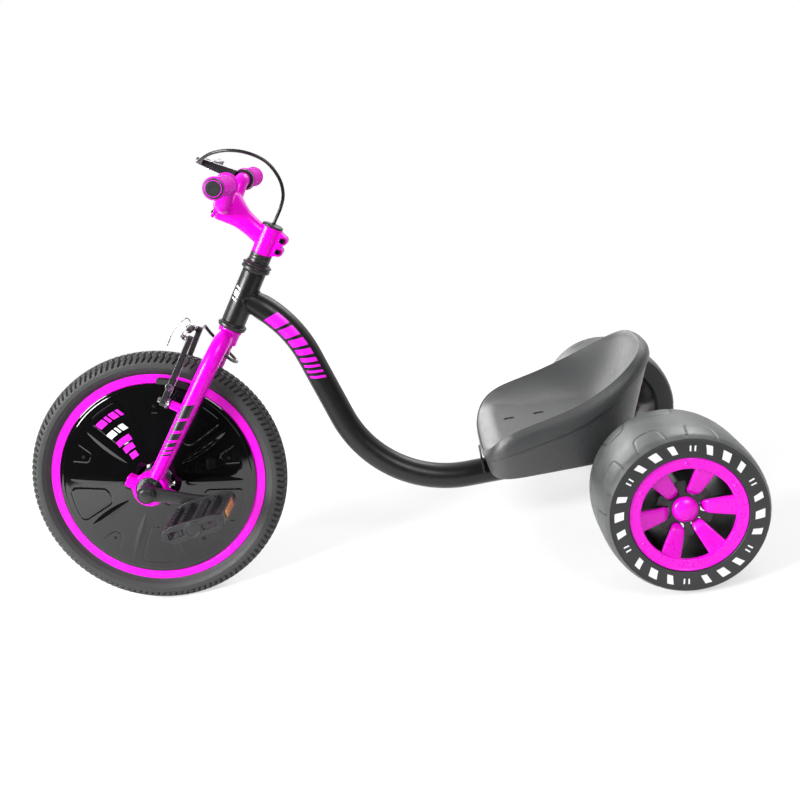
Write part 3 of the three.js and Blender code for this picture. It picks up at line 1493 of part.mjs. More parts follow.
// Hub, spindle and spokes as one: the spindle is pressed in, and the spokes reach the rim
function frontHub() {
  const shaft = frontBearingInner;
  const shaftEnd = crankInner - 2 * clearance;
  const flangeSide = [
    [hubBarrelRadius, hubFlangeAcross - 1.5 * hubFlangeThickness],
    [hubFlangeRadius, hubFlangeAcross - hubFlangeThickness / 2],
    [hubFlangeRadius, hubFlangeAcross + hubFlangeThickness / 2],
    [hubCollarRadius, hubFlangeAcross + hubFlangeThickness],
    [shaft, hubFlangeAcross + hubCollarLength],
    [shaft, shaftEnd],
    [0, shaftEnd],
  ];
  const farSide = flangeSide.map(([radius, y]) => [radius, -y]).reverse();
  const shell = turned([...farSide, ...flangeSide], tubeSides);
  const squareEnd = crankOuter - crankCapDepth - clearance;
  const square = block(
    [-squareHalf, -squareEnd, -squareHalf],
    [squareHalf, squareEnd, squareHalf],
  ).rotateY(-crankDrop);
  const spokes = [1, -1].flatMap((side) =>
    Array.from({ length: spokeCount }, (_, k) => {
      const turn = ((k + (side > 0 ? 0.25 : 0.75)) * 2 * Math.PI) / spokeCount;
      const lead = (k % 2 ? 1 : -1) * spokeLead;
      const point = (radius, angle, y) =>
        new THREE.Vector3(radius * Math.sin(angle), y, radius * Math.cos(angle));
      const from = point(hubFlangeRadius - hubFlangeThickness, turn, side * hubFlangeAcross);
      const to = point(rimWellRadius - spokeGap, turn + lead, side * rimBevel);
      const along = to.clone().sub(from);
      const spoke = rod(spokeRadius, 0, along.length(), 3);
      const lean = new THREE.Quaternion();
      lean.setFromUnitVectors(new THREE.Vector3(0, 1, 0), along.normalize());
      spoke.applyQuaternion(lean);
      return spoke.translate(from.x, from.y, from.z);
    }),
  );
  return join(shell, square, ...spokes);
}

// Crank with the pedal's own spindle screwed into its end
const pedalSpindleRadius = 4;
const pedalWall = 4;
const pedalInner = crankOuter + crankSwing;
const pedalWidth = 89;
const pedalHalfLength = 46;
const pedalHalfHeight = 12.5;
function crank() {
  const boss = turned(
    [
      [0, crankInner],
      [crankBossRadius, crankInner],
      [crankBossRadius, crankOuter - crankBevel],
      [crankBossRadius - crankBevel, crankOuter],
      [0.66 * crankBossRadius, crankOuter + crankBevel],
      [0, crankOuter + 2 * crankBevel],
    ],
    tubeSides,
  );
  const sections = [
    { share: 0, half: 0.86 * crankBossRadius },
    { share: 0.3, half: 0.71 * crankBossRadius },
    { share: 0.75, half: 0.64 * crankBossRadius },
    { share: 1, half: 0.67 * crankBossRadius },
  ];
  const outline = [[-1, 0.2], [-0.7, 0], [0.7, 0], [1, 0.2], [1, 0.8], [0.6, 1], [-0.6, 1], [-1, 0.8]];
  const arm = loft(
    sections.map(({ share, half }) =>
      outline.map(([up, deep]) => {
        const y = crankArmInner + crankSwing * share + deep * crankThickness;
        return new THREE.Vector3(-share * crankLength, y, up * half);
      }),
    ),
  );
  const eyeInner = crankArmInner + crankSwing;
  const eye = rod(crankEyeRadius, eyeInner, eyeInner + crankThickness, tubeSides);
  const spindle = rod(
    pedalSpindleRadius,
    eyeInner + crankThickness / 2,
    pedalInner + pedalWidth - 1.5 * pedalWall,
    rodSides,
  );
  const hole = squareHalf + clearance;
  const taper = block([-hole, crankInner - overrun, -hole], [hole, crankOuter - crankCapDepth, hole]);
  return cut(join(boss, arm, move(eye, -crankLength, 0, 0), move(spindle, -crankLength, 0, 0)), taper);
}

// A pedal: two end plates with windows in the outer one, and four tread bars round a barrel
const pedalBarrelRadius = 10.5;
const pedalWindow = { long: 22, tall: 10, place: 24.4 };
const pedalBars = [
  { place: 38, half: 5, tall: 7.75 },
  { place: 19.3, half: 3, tall: 10 },
];

function pedal() {
  const [long, tall] = [pedalHalfLength, pedalHalfHeight];
  const endPlate = (from) =>
    slab(
      [
        [-long, -0.1 * tall],
        [-0.72 * long, -tall],
        [0.72 * long, -tall],
        [long, 0.1 * tall],
        [0.91 * long, 0.6 * tall],
        [0.6 * long, 0.96 * tall],
        [-0.6 * long, 0.96 * tall],
        [-0.93 * long, 0.7 * tall],
      ],
      pedalWall,
      from + pedalWall / 2,
    );
  const outerEnd = pedalInner + pedalWidth;
  const windows = [-1, 1].map((end) => {
    const middle = end * pedalWindow.place;
    return block(
      [middle - pedalWindow.long / 2, outerEnd - 2 * pedalWall, -0.6 * pedalWindow.tall],
      [middle + pedalWindow.long / 2, outerEnd + overrun, 0.4 * pedalWindow.tall],
    );
  });
  const bars = [-1, 1].flatMap((end) =>
    pedalBars.map((bar) =>
      block(
        [end * bar.place - bar.half, pedalInner, -bar.tall],
        [end * bar.place + bar.half, outerEnd, bar.tall],
      ),
    ),
  );
  const barrel = rod(pedalBarrelRadius, pedalInner, outerEnd - clearance, rodSides);
  const boreRadius = pedalSpindleRadius + turningClearance;
  const bore = rod(boreRadius, pedalInner - overrun, outerEnd - pedalWall, rodSides);
  const body = cut(join(endPlate(pedalInner), endPlate(outerEnd - pedalWall), ...bars), ...windows);
  return cut(join(body, barrel), bore);
}

piece(frontWheel, "front_tyre", frontTyre(), blackRubber);
piece(frontWheel, "front_rim", frontRim(), magenta);
piece(frontWheel, "front_hub", frontHub(), brightSteel);
piece(frontWheel, "left_wheel_cover", wheelCover(1), glossBlack);
piece(frontWheel, "right_wheel_cover", wheelCover(-1), glossBlack);
for (const [name, turn] of [["left", 0], ["right", Math.PI]]) {
  const side = new THREE.Group();
  side.rotation.z = turn;
  frontWheel.add(side);
  const arm = new THREE.Group();
  arm.rotation.y = turn ? crankDrop : -crankDrop;
  side.add(arm);
  piece(arm, `${name}_crank`, crank(), satinBlack);
  const platform = new THREE.Group();
  platform.position.x = -crankLength;
  platform.rotation.y = (turn ? -1 : 1) * (crankDrop + 6 * degrees);
  arm.add(platform);
  piece(platform, `${name}_pedal`, pedal(), satinBlack);
}

export default trike;
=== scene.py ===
import json
import math

import bmesh
import bpy
import numpy as np
from mathutils import Matrix


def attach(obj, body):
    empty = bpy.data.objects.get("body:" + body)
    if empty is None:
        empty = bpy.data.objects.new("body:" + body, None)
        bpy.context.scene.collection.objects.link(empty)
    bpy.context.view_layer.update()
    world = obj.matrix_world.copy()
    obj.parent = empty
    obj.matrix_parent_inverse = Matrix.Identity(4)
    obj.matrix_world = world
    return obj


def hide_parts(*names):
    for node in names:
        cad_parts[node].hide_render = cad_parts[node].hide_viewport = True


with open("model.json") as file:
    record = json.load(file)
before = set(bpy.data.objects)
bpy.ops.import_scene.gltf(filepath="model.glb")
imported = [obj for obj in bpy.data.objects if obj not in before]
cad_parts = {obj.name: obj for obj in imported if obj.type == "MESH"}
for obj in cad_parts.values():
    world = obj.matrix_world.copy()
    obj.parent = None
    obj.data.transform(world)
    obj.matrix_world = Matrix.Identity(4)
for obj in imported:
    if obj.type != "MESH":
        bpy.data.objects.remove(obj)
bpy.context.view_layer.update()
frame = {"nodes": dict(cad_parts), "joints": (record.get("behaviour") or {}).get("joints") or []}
print("frame loaded with", len(frame["nodes"]), "nodes")

rad = math.radians


# places: an origin in metres and the three axes that a piece's millimetres are measured along
def placeAt(origin, x=(1, 0, 0), z=(0, 0, 1)):
    x, z = np.array(x, float), np.array(z, float)
    return {"origin": np.array(origin, float), "axes": np.array([x, np.cross(z, x), z])}


def movedPlace(place, x, y, z):
    origin = place["origin"] + np.array([x, y, z]) / 1000 @ place["axes"]
    return {"origin": origin, "axes": place["axes"]}


def turnedPlace(place, angle):  # about the place's own Y, from Z towards X
    c, s = math.cos(angle), math.sin(angle)
    turn = np.array([[c, 0, -s], [0, 1, 0], [s, 0, c]])
    return {"origin": place["origin"], "axes": turn @ place["axes"]}


def inRow(place, points):
    return place["origin"] + np.asarray(points, float) / 1000 @ place["axes"]


joints = {j["name"]: j for j in frame["joints"]}
headAxis = np.array(joints["steering_axis"]["axis"], float)
headForward = np.cross((0, 1, 0), headAxis)
rearAxleAt = np.array(joints["left_rear_axle"]["pos_m"], float)
chassis = placeAt((rearAxleAt[0], 0, 0))
steering = placeAt(joints["steering_axis"]["pos_m"], headForward, headAxis)
frontWheel = placeAt(joints["front_axle"]["pos_m"])
sides = {"left": 1, "right": -1}
rearWheels = {
    side: placeAt((rearAxleAt[0], 0, rearAxleAt[2]), (turn, 0, 0)) for side, turn in sides.items()
}


# curves
def smoothPath(points, count, closed=False):
    # Catmull-Rom through the points, evenly in the parameter: a cubic between each two
    points = np.array(points, float)
    total = len(points) if closed else len(points) - 1
    t = np.linspace(0, total, count + 1)[:count] if closed else np.linspace(0, total, count)
    i = np.minimum(t.astype(int), total - 1)
    f = (t - i)[:, None]

    def pick(k):
        if closed:
            return points[(i + k) % len(points)]
        inside = points[np.clip(i + k, 0, len(points) - 1)]
        before = (i + k < 0)[:, None] * (points[0] - points[1])
        after = (i + k > len(points) - 1)[:, None] * (points[-1] - points[-2])
        return inside + before + after

    a, b, c, d = pick(-1), pick(0), pick(1), pick(2)
    return 0.5 * (2 * b + (c - a) * f + (2 * a - 5 * b + 4 * c - d) * f**2 + (3 * b - a - 3 * c + d) * f**3)


def roundCorners(points, reach, steps=4, closed=True):
    # each corner becomes a quadratic curve that starts and ends reach away from it
    points = np.array(points, float)
    reach = np.broadcast_to(np.array(reach, float), len(points))

    def towards(other):
        gap = other - points
        length = np.linalg.norm(gap, axis=1)
        return points + gap * (np.minimum(reach, 0.45 * length) / np.maximum(length, 1e-9))[:, None]

    start, end = towards(np.roll(points, 1, 0)), towards(np.roll(points, -1, 0))
    if not closed:
        start[0] = end[0] = points[0]
        start[-1] = end[-1] = points[-1]
    t = np.linspace(0, 1, steps + 1)[None, :, None]
    curve = (1 - t) ** 2 * start[:, None] + 2 * t * (1 - t) * points[:, None] + t**2 * end[:, None]
    return curve.reshape(-1, points.shape[1])


def runLength(path):
    return np.concatenate([[0], np.cumsum(np.linalg.norm(np.diff(path, axis=0), axis=1))])


def softBox(turn, square):  # x and y of a rounded square: a circle's own, each to a power under 1
    c, s = np.cos(turn), np.sin(turn)
    return np.sign(c) * np.abs(c) ** square, np.sign(s) * np.abs(s) ** square


# shells: points, and quads between neighbouring rows and columns of a grid, with flat ends where asked
def gridShell(points, closeAlong=False, closeAcross=True, ends=True, band=0):
    rows, across = points.shape[:2]
    r = np.arange(rows if closeAlong else rows - 1)
    c = np.arange(across if closeAcross else across - 1)
    r, c = np.meshgrid(r, c, indexing="ij")
    nextColumn, here, there = (c + 1) % across, r * across, (r + 1) % rows * across
    quads = np.stack([here + c, here + nextColumn, there + nextColumn, there + c], -1)
    corners = [(0, 0), (1, 0), (1, 1), (0, 1)]
    uv = np.stack([np.stack([c / across + a / across, r / rows + b / rows], -1) for a, b in corners], -2)
    caps = []
    if ends and closeAcross and not closeAlong:
        caps = [list(range(across))[::-1], list(range((rows - 1) * across, rows * across))]
    band = np.broadcast_to(np.array(band), len(r)) if np.ndim(band) else np.full(len(r), band)
    return {
        "points": points.reshape(-1, 3),
        "quads": quads.reshape(-1, 4),
        "uv": uv.reshape(-1, 4, 2),
        "caps": caps,
        "band": np.repeat(band, quads.shape[1]),
        "shade": np.zeros(points.size // 3),
    }


def turned(profile, around, closed=True):  # [radius, y] pairs carried round the Y axis
    profile = np.array(profile, float)
    turn = np.linspace(0, 2 * np.pi, around, endpoint=False)
    r, y = profile[:, :1], profile[:, 1:2]
    points = np.stack([r * np.sin(turn), y + 0 * turn, r * np.cos(turn)], -1)
    return gridShell(points, closeAlong=closed, ends=False)


def ringTurned(profile, around, reach):  # a closed profile with rounded corners, carried round the Y axis
    return turned(roundCorners(profile, reach), around)


def knobTurned(profile, around, reach=0.0):  # the same for a profile that starts and ends on the axis
    profile = roundCorners(profile, reach, closed=False) if reach else profile
    return turned(profile, around, closed=False)


def swept(path, radius, around, up=(0, 1, 0), closed=False):
    # a circle carried along a path, turned as little as possible on the way
    path = np.array(path, float)
    along = np.roll(path, -1, 0) - np.roll(path, 1, 0) if closed else np.gradient(path, axis=0)
    along /= np.linalg.norm(along, axis=1)[:, None]
    sideways = np.zeros_like(path)
    last = np.cross(along[0], up)
    for i, direction in enumerate(along):
        last = last - direction * (last @ direction)
        last = last / np.linalg.norm(last)
        sideways[i] = last
    upwards = np.cross(sideways, along)
    turn = np.linspace(0, 2 * np.pi, around, endpoint=False)[:, None]
    radius = np.broadcast_to(np.asarray(radius, float), len(path))[:, None, None]
    ring = sideways[:, None] * np.cos(turn) + upwards[:, None] * np.sin(turn)
    return gridShell(path[:, None] + radius * ring, closeAlong=closed)


def drawn(outline, low, high, plane="xz"):  # a flat outline drawn from low to high across its plane
    outline = np.array(outline, float)
    a, b = outline[:, 0], outline[:, 1]
    rows = []
    for level in (low, high):
        c = np.full(len(a), level)
        rows.append(np.stack({"xz": [a, c, b], "xy": [a, b, c], "yz": [c, a, b]}[plane], -1))
    return gridShell(np.array(rows))


def boxed(low, high):  # the box between two corners
    outline = [[low[0], low[2]], [high[0], low[2]], [high[0], high[2]], [low[0], high[2]]]
    return drawn(outline, low[1], high[1])


def shifted(shell, x=0.0, y=0.0, z=0.0, turnY=0.0, turnZ=0.0, turnX=0.0):
    # turned about X, then Y, then Z, and moved after that
    points = shell["points"]
    for angle, (i, j) in ((turnX, (1, 2)), (turnY, (2, 0)), (turnZ, (0, 1))):
        c, s = math.cos(angle), math.sin(angle)
        points = points.copy()
        points[:, i], points[:, j] = c * points[:, i] - s * points[:, j], s * points[:, i] + c * points[:, j]
    return {**shell, "points": points + np.array([x, y, z])}


def alongX(shell):
    return shifted(shell, turnZ=-math.pi / 2)


def alongZ(shell):
    return shifted(shell, turnX=math.pi / 2)


def facing(shell, side):  # as it is on the left, half a turn round Z on the right
    return shell if side > 0 else shifted(shell, turnZ=math.pi)


def mirrored(shell, x=1, y=1):  # makePiece turns the faces out again
    return {**shell, "points": shell["points"] * [x, y, 1]}


def joinShells(*shells):
    start, parts = 0, []
    for shell in shells:
        parts.append({**shell, "quads": shell["quads"] + start})
        start += len(shell["points"])
    keys = ("points", "quads", "uv", "band", "shade")
    return {**{key: np.concatenate([part[key] for part in parts]) for key in keys}, "caps": []}


def printed(onSurface, corners, lift, cells):
    # a thin printed patch: four (u, v) corners filled in evenly, carried by the surface it lies on
    s, t = np.meshgrid(np.linspace(0, 1, cells[0] + 1), np.linspace(0, 1, cells[1] + 1), indexing="ij")
    a, b, c, d = (np.array(corner, float) for corner in corners)
    s, t = s[..., None], t[..., None]
    uv = (1 - s) * (1 - t) * a + s * (1 - t) * b + s * t * c + (1 - s) * t * d
    top = onSurface(uv[..., 0], uv[..., 1], lift)
    base = onSurface(uv[..., 0], uv[..., 1], -0.15)
    return gridShell(np.concatenate([top, base[:, ::-1]], 1))


# pieces
def makePiece(name, shells, place, body, node, slot, materials, bevel=None, sharp=34):
    shells = shells if isinstance(shells, list) else [shells]
    points, faces, uvs, bands, start = [], [], [], [], 0
    for shell in shells:
        points.append(shell["points"])
        faces += (shell["quads"] + start).tolist() + [[i + start for i in cap] for cap in shell["caps"]]
        uvs.append(shell["uv"].reshape(-1, 2))
        uvs.append(np.zeros((sum(map(len, shell["caps"])), 2)))
        bands += shell["band"].tolist() + [shell["band"][0]] * len(shell["caps"])
        start += len(shell["points"])
    mesh = bpy.data.meshes.new(name)
    mesh.from_pydata(inRow(place, np.concatenate(points)).tolist(), [], faces)
    mesh.uv_layers.new(name="across").data.foreach_set("uv", np.concatenate(uvs).ravel().astype(np.float32))
    mesh.polygons.foreach_set("material_index", np.array(bands, np.int32))
    shade = np.concatenate([shell["shade"] for shell in shells]).astype(np.float32)
    if shade.any():  # painted shade: how much darker a groove, a moulded line or a petal is drawn, for the finish to read
        mesh.attributes.new("shade", "FLOAT", "POINT").data.foreach_set("value", shade)
    work = bmesh.new()
    work.from_mesh(mesh)
    bmesh.ops.remove_doubles(work, verts=work.verts, dist=2e-6)
    bmesh.ops.dissolve_degenerate(work, edges=work.edges, dist=1e-6)
    bmesh.ops.recalc_face_normals(work, faces=work.faces)
    work.to_mesh(mesh)
    work.free()
    mesh.polygons.foreach_set("use_smooth", np.ones(len(mesh.polygons), bool))
    mesh.set_sharp_from_angle(angle=rad(sharp))
    piece = bpy.data.objects.new(name, mesh)
    bpy.context.scene.collection.objects.link(piece)
    for material in materials if isinstance(materials, list) else [materials]:
        mesh.materials.append(material)
    if bevel:
        soften = piece.modifiers.new("soft edges", "BEVEL")
        soften.width, soften.segments, soften.limit_method = bevel / 1000, 2, "ANGLE"
        soften.angle_limit, soften.harden_normals = rad(35), True
    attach(piece, body)
    if node:
        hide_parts(node)
    return piece


def carve(piece, cutters, place):
    # takes the cutters' room out of a piece's mesh for good
    hole = makePiece("cutter", cutters, place, "frame", None, "black_paint", [])
    tool = piece.modifiers.new("carve", "BOOLEAN")
    tool.object, tool.operation, tool.solver = hole, "DIFFERENCE", "EXACT"
    while piece.modifiers[0] != tool:
        bpy.context.view_layer.objects.active = piece
        piece.modifiers.move(len(piece.modifiers) - 1, 0)
    shown = [m for m in piece.modifiers if m != tool]
    for m in shown:
        m.show_viewport = False
    bpy.context.view_layer.update()
    result = bpy.data.meshes.new_from_object(piece.evaluated_get(bpy.context.evaluated_depsgraph_get()))
    piece.modifiers.remove(tool)
    for m in shown:
        m.show_viewport = True
    piece.data = result
    result.polygons.foreach_set("use_smooth", np.ones(len(result.polygons), bool))
    result.set_sharp_from_angle(angle=rad(34))
    bpy.data.objects.remove(hole)


# materials
def colourOf(text):  # sRGB hex to linear
    parts = [int(text[i : i + 2], 16) / 255 for i in (1, 3, 5)]
    return [c / 12.92 if c <= 0.04045 else ((c + 0.055) / 1.055) ** 2.4 for c in parts] + [1.0]


def addNode(tree, kind, settings=None, inputs=None, **links):
    # one node: settings are its own fields, inputs are socket values, links join sockets to other nodes'
    node = tree.nodes.new("ShaderNode" + kind)
    for key, value in (settings or {}).items():
        setattr(node, key, value)
    for key, value in (inputs or {}).items():
        node.inputs[key].default_value = value
    for key, source in links.items():
        numbered = key[0] == "i" and key[1:].isdigit()
        socket = int(key[1:]) if numbered else key.replace("_", " ")
        tree.links.new(source, node.inputs[socket])
    return node


def finish(name, look):
    # a base colour that drifts a little, fine scuffs that change roughness, a grain for bump, and painted
    # shade
    material = bpy.data.materials.new(name)
    material.use_nodes = True
    tree = material.node_tree
    shader = tree.nodes["Principled BSDF"]
    position = addNode(tree, "TexCoord").outputs["Object"]

    def noise(size, **inputs):
        inputs = {"Scale": 1000 / look[size], **inputs}
        return addNode(tree, "TexNoise", inputs=inputs, Vector=position).outputs["Fac"]

    def mixed(tones, **links):
        tones = {socket: colourOf(tone) for socket, tone in tones.items()}
        return addNode(tree, "Mix", {"data_type": "RGBA"}, tones, **links).outputs[2]

    def mapped(inputs, source):
        return addNode(tree, "MapRange", inputs=inputs, Value=source).outputs["Result"]

    scuffs = noise("scuffSize", Detail=5.0, Roughness=0.7)
    start, (low, high) = look["scuffFrom"], look["rough"]
    wear = mapped({"From Min": start, "From Max": start + 0.12, "To Max": look["scuffAmount"]}, scuffs)
    clean = mixed({6: look["colour"], 7: look["drift"]}, i0=noise("driftSize", Detail=2.0))
    worn = mixed({7: look["worn"]}, i0=wear, i6=clean)
    # painted shade: where the mesh's shade attribute is set, the colour is mixed towards near black
    paintedShadeAmount = addNode(tree, "Attribute", {"attribute_name": "shade"}).outputs["Fac"]
    withPaintedShade = mixed({7: "#080808"}, i0=paintedShadeAmount, i6=worn)
    rough = mapped({"From Min": 0.3, "From Max": 0.7, "To Min": low, "To Max": high}, scuffs)
    depth = {"Strength": look["grain"], "Distance": look["grainDepth"] / 1000}
    relief = addNode(tree, "Bump", inputs=depth, Height=noise("grainSize", Detail=2.0, Roughness=0.6))
    tree.links.new(withPaintedShade, shader.inputs["Base Color"])
    tree.links.new(rough, shader.inputs["Roughness"])
    tree.links.new(relief.outputs["Normal"], shader.inputs["Normal"])
    shader.inputs["Coat Roughness"].default_value = 0.08
    for socket, key, usual in (
        ("Metallic", "metallic", 0.0),
        ("Coat Weight", "coat", 0.0),
        ("Specular IOR Level", "specular", 0.5),
        ("IOR", "ior", 1.5),
    ):
        shader.inputs[socket].default_value = look.get(key, usual)
    return material


# powder coat: sprayed dry and baked, so a slight orange peel under a broad gloss
powderLook = {"driftSize": 60, "scuffSize": 7, "scuffFrom": 0.64, "scuffAmount": 0.25, "grainSize": 2.2}
magentaPowderCoat = finish(
    "magenta powder coat, baked",
    {**powderLook, "colour": "#fb00e0", "drift": "#f400d8", "worn": "#c800b4", "rough": (0.22, 0.32),
     "grain": 0.12, "grainDepth": 0.25, "coat": 0.1, "specular": 0.18},
)
blackPowderCoat = finish(
    "satin black powder coat, baked",
    {**powderLook, "colour": "#101011", "drift": "#151516", "worn": "#303031", "rough": (0.3, 0.42),
     "grain": 0.14, "grainDepth": 0.3, "specular": 0.4},
)
# lacquered aluminium rim: colour anodise under clear lacquer, faint turning lines come with the piece
magentaRim = finish(
    "magenta lacquered aluminium rim",
    {**powderLook, "colour": "#f808e2", "drift": "#f206da", "worn": "#d82acb", "rough": (0.3, 0.4),
     "grain": 0.08, "grainDepth": 0.15, "coat": 0.1, "specular": 0.35},
)
# ABS discs and caps, injection moulded: even colour, soft gloss, almost no grain
magentaMoulding = finish(
    "magenta ABS, injection moulded",
    {
        "driftSize": 50, "scuffSize": 9, "scuffFrom": 0.62, "scuffAmount": 0.18, "grainSize": 1.6,
        "colour": "#ea04d2", "drift": "#e402cc", "worn": "#f23ce2", "rough": (0.24, 0.36), "grain": 0.06,
        "grainDepth": 0.15, "specular": 0.45,
    },
)
# soft moulded grip rubber: matt, with a dusty bloom where hands rub
gripRubber = finish(
    "magenta grip rubber, moulded",
    {
        "driftSize": 30, "scuffSize": 4, "scuffFrom": 0.55, "scuffAmount": 0.3, "grainSize": 0.9,
        "colour": "#ee04d6", "drift": "#e400cc", "worn": "#f43ae0", "rough": (0.5, 0.66), "grain": 0.3,
        "grainDepth": 0.25, "specular": 0.25,
    },
)
# forged and cast alloy, painted satin black
blackAlloy = finish(
    "black painted alloy, forged",
    {
        "driftSize": 40, "scuffSize": 5, "scuffFrom": 0.62, "scuffAmount": 0.4, "grainSize": 1.3,
        "colour": "#1d1d1e", "drift": "#262627", "worn": "#5a5a5b", "rough": (0.3, 0.45), "grain": 0.16,
        "grainDepth": 0.25,
    },
)
blackenedSteel = finish(
    "blackened steel fastener",
    {
        "driftSize": 12, "scuffSize": 3, "scuffFrom": 0.58, "scuffAmount": 0.5, "grainSize": 0.8,
        "colour": "#2b2b2c", "drift": "#202021", "worn": "#77787a", "rough": (0.3, 0.45), "grain": 0.1,
        "grainDepth": 0.1, "metallic": 0.7,
    },
)
# glass-filled nylon pedals and caps: dark, slightly mottled, satin
blackNylon = finish(
    "black nylon, injection moulded",
    {
        "driftSize": 18, "scuffSize": 4, "scuffFrom": 0.6, "scuffAmount": 0.35, "grainSize": 1.0,
        "colour": "#212223", "drift": "#2b2c2d", "worn": "#4d4e50", "rough": (0.38, 0.52), "grain": 0.25,
        "grainDepth": 0.2, "ior": 1.53,
    },
)
# wheel covers: vacuum-formed sheet with a mirror gloss
glossSheet = finish(
    "black gloss sheet, vacuum formed",
    {
        "driftSize": 90, "scuffSize": 14, "scuffFrom": 0.68, "scuffAmount": 0.1, "grainSize": 30,
        "colour": "#060607", "drift": "#0a0a0b", "worn": "#1c1c1d", "rough": (0.05, 0.09), "grain": 0.12,
        "grainDepth": 0.35, "ior": 1.55,
    },
)
# tyre rubber: carbon-black compound, matt, paler where dust sits
tyreRubber = finish(
    "black tyre rubber, vulcanised",
    {
        "driftSize": 35, "scuffSize": 6, "scuffFrom": 0.56, "scuffAmount": 0.3, "grainSize": 1.1,
        "colour": "#303131", "drift": "#363737", "worn": "#4c4d4c", "rough": (0.55, 0.75), "grain": 0.3,
        "grainDepth": 0.2, "ior": 1.52,
    },
)
# hard sleeve of the drift wheels: polyethylene, satin, scuffed along the way it slides
hardSleeve = finish(
    "dark grey polyethylene sleeve, moulded",
    {
        "driftSize": 70, "scuffSize": 16, "scuffFrom": 0.5, "scuffAmount": 0.35, "grainSize": 1.5,
        "colour": "#414343", "drift": "#494b4b", "worn": "#5d5f5e", "rough": (0.36, 0.5), "grain": 0.18,
        "grainDepth": 0.25, "specular": 0.75,
    },
)
# the sleeve's face band: black paint on the outer face, and painted shade where the same band covers the
# inner face
sleeveFace = finish(
    "black face band of the sleeve, painted",
    {
        "driftSize": 50, "scuffSize": 10, "scuffFrom": 0.6, "scuffAmount": 0.25, "grainSize": 1.4,
        "colour": "#222324", "drift": "#292a2b", "worn": "#3f4041", "rough": (0.45, 0.6), "grain": 0.15,
        "grainDepth": 0.2, "ior": 1.52,
    },
)
# seat: blow-moulded polyethylene with a spark-eroded grain
seatShell = finish(
    "dark grey polyethylene seat, moulded grain",
    {
        "driftSize": 80, "scuffSize": 9, "scuffFrom": 0.6, "scuffAmount": 0.22, "grainSize": 1.3,
        "colour": "#2c2d2e", "drift": "#313233", "worn": "#444545", "rough": (0.32, 0.44), "grain": 0.9,
        "grainDepth": 0.55, "specular": 0.85,
    },
)
brakeRubber = finish(
    "brake pad rubber, moulded",
    {
        "driftSize": 14, "scuffSize": 4, "scuffFrom": 0.55, "scuffAmount": 0.3, "grainSize": 0.9,
        "colour": "#1c1c1c", "drift": "#252525", "worn": "#3c3c3c", "rough": (0.6, 0.75), "grain": 0.2,
        "grainDepth": 0.2, "ior": 1.52,
    },
)
brightSteel = finish(
    "zinc plated steel, tumbled",
    {
        "driftSize": 15, "scuffSize": 4, "scuffFrom": 0.58, "scuffAmount": 0.4, "grainSize": 1.0,
        "colour": "#b6b8bb", "drift": "#a6a8ab", "worn": "#85888c", "rough": (0.18, 0.32), "grain": 0.08,
        "grainDepth": 0.08, "metallic": 1.0,
    },
)
cableHousing = finish(
    "black PVC cable housing, extruded",
    {
        "driftSize": 25, "scuffSize": 5, "scuffFrom": 0.6, "scuffAmount": 0.3, "grainSize": 1.2,
        "colour": "#161617", "drift": "#1d1d1e", "worn": "#3a3a3b", "rough": (0.25, 0.35), "grain": 0.06,
        "grainDepth": 0.1, "ior": 1.53,
    },
)
whiteInk = finish(
    "white screen ink",
    {
        "driftSize": 20, "scuffSize": 5, "scuffFrom": 0.55, "scuffAmount": 0.25, "grainSize": 1.1,
        "colour": "#eff0f0", "drift": "#e6e7e7", "worn": "#c2c3c3", "rough": (0.4, 0.5), "grain": 0.08,
        "grainDepth": 0.1,
    },
)
magentaInk = finish(
    "magenta screen ink",
    {
        "driftSize": 20, "scuffSize": 5, "scuffFrom": 0.6, "scuffAmount": 0.2, "grainSize": 1.1,
        "colour": "#fa06ec", "drift": "#f000e2", "worn": "#b80cac", "rough": (0.3, 0.4), "grain": 0.06,
        "grainDepth": 0.1,
    },
)
blackInk = finish(
    "black screen ink",
    {
        "driftSize": 20, "scuffSize": 5, "scuffFrom": 0.6, "scuffAmount": 0.25, "grainSize": 1.1,
        "colour": "#171018", "drift": "#1e161f", "worn": "#4a2048", "rough": (0.3, 0.4), "grain": 0.06,
        "grainDepth": 0.1,
    },
)
# reflector lenses: tinted acrylic over a prism back, so a fine bright grid under gloss
amberReflector = finish(
    "amber acrylic reflector, moulded",
    {
        "driftSize": 6, "scuffSize": 3, "scuffFrom": 0.5, "scuffAmount": 0.5, "grainSize": 2.0,
        "colour": "#e08a10", "drift": "#b86406", "worn": "#f2b23a", "rough": (0.08, 0.16), "grain": 0.6,
        "grainDepth": 0.4, "coat": 0.8, "ior": 1.49,
    },
)

# the slots of the part that several pieces share, each with its finish
magentaPaint = ("magenta_paint", magentaPowderCoat)
blackPaint = ("black_paint", blackPowderCoat)
blackMetal = ("black_alloy", blackAlloy)
print("materials made")


# camera: the photograph's, found by fitting the wheels, fork and bars
cameraFit = {
    "focal": 968.94,  # pixels of an 800 pixel picture
    "yaw": 0.0467,
    "pitch": 0.1694,
    "roll": -0.2031,
    "x": 241.29,  # ahead of the rear axle
    "y": 1408.06,
    "z": 629.56,
    "middleUp": 100,  # pixels from the picture's middle up to the lens axis
    "picture": 800,
}


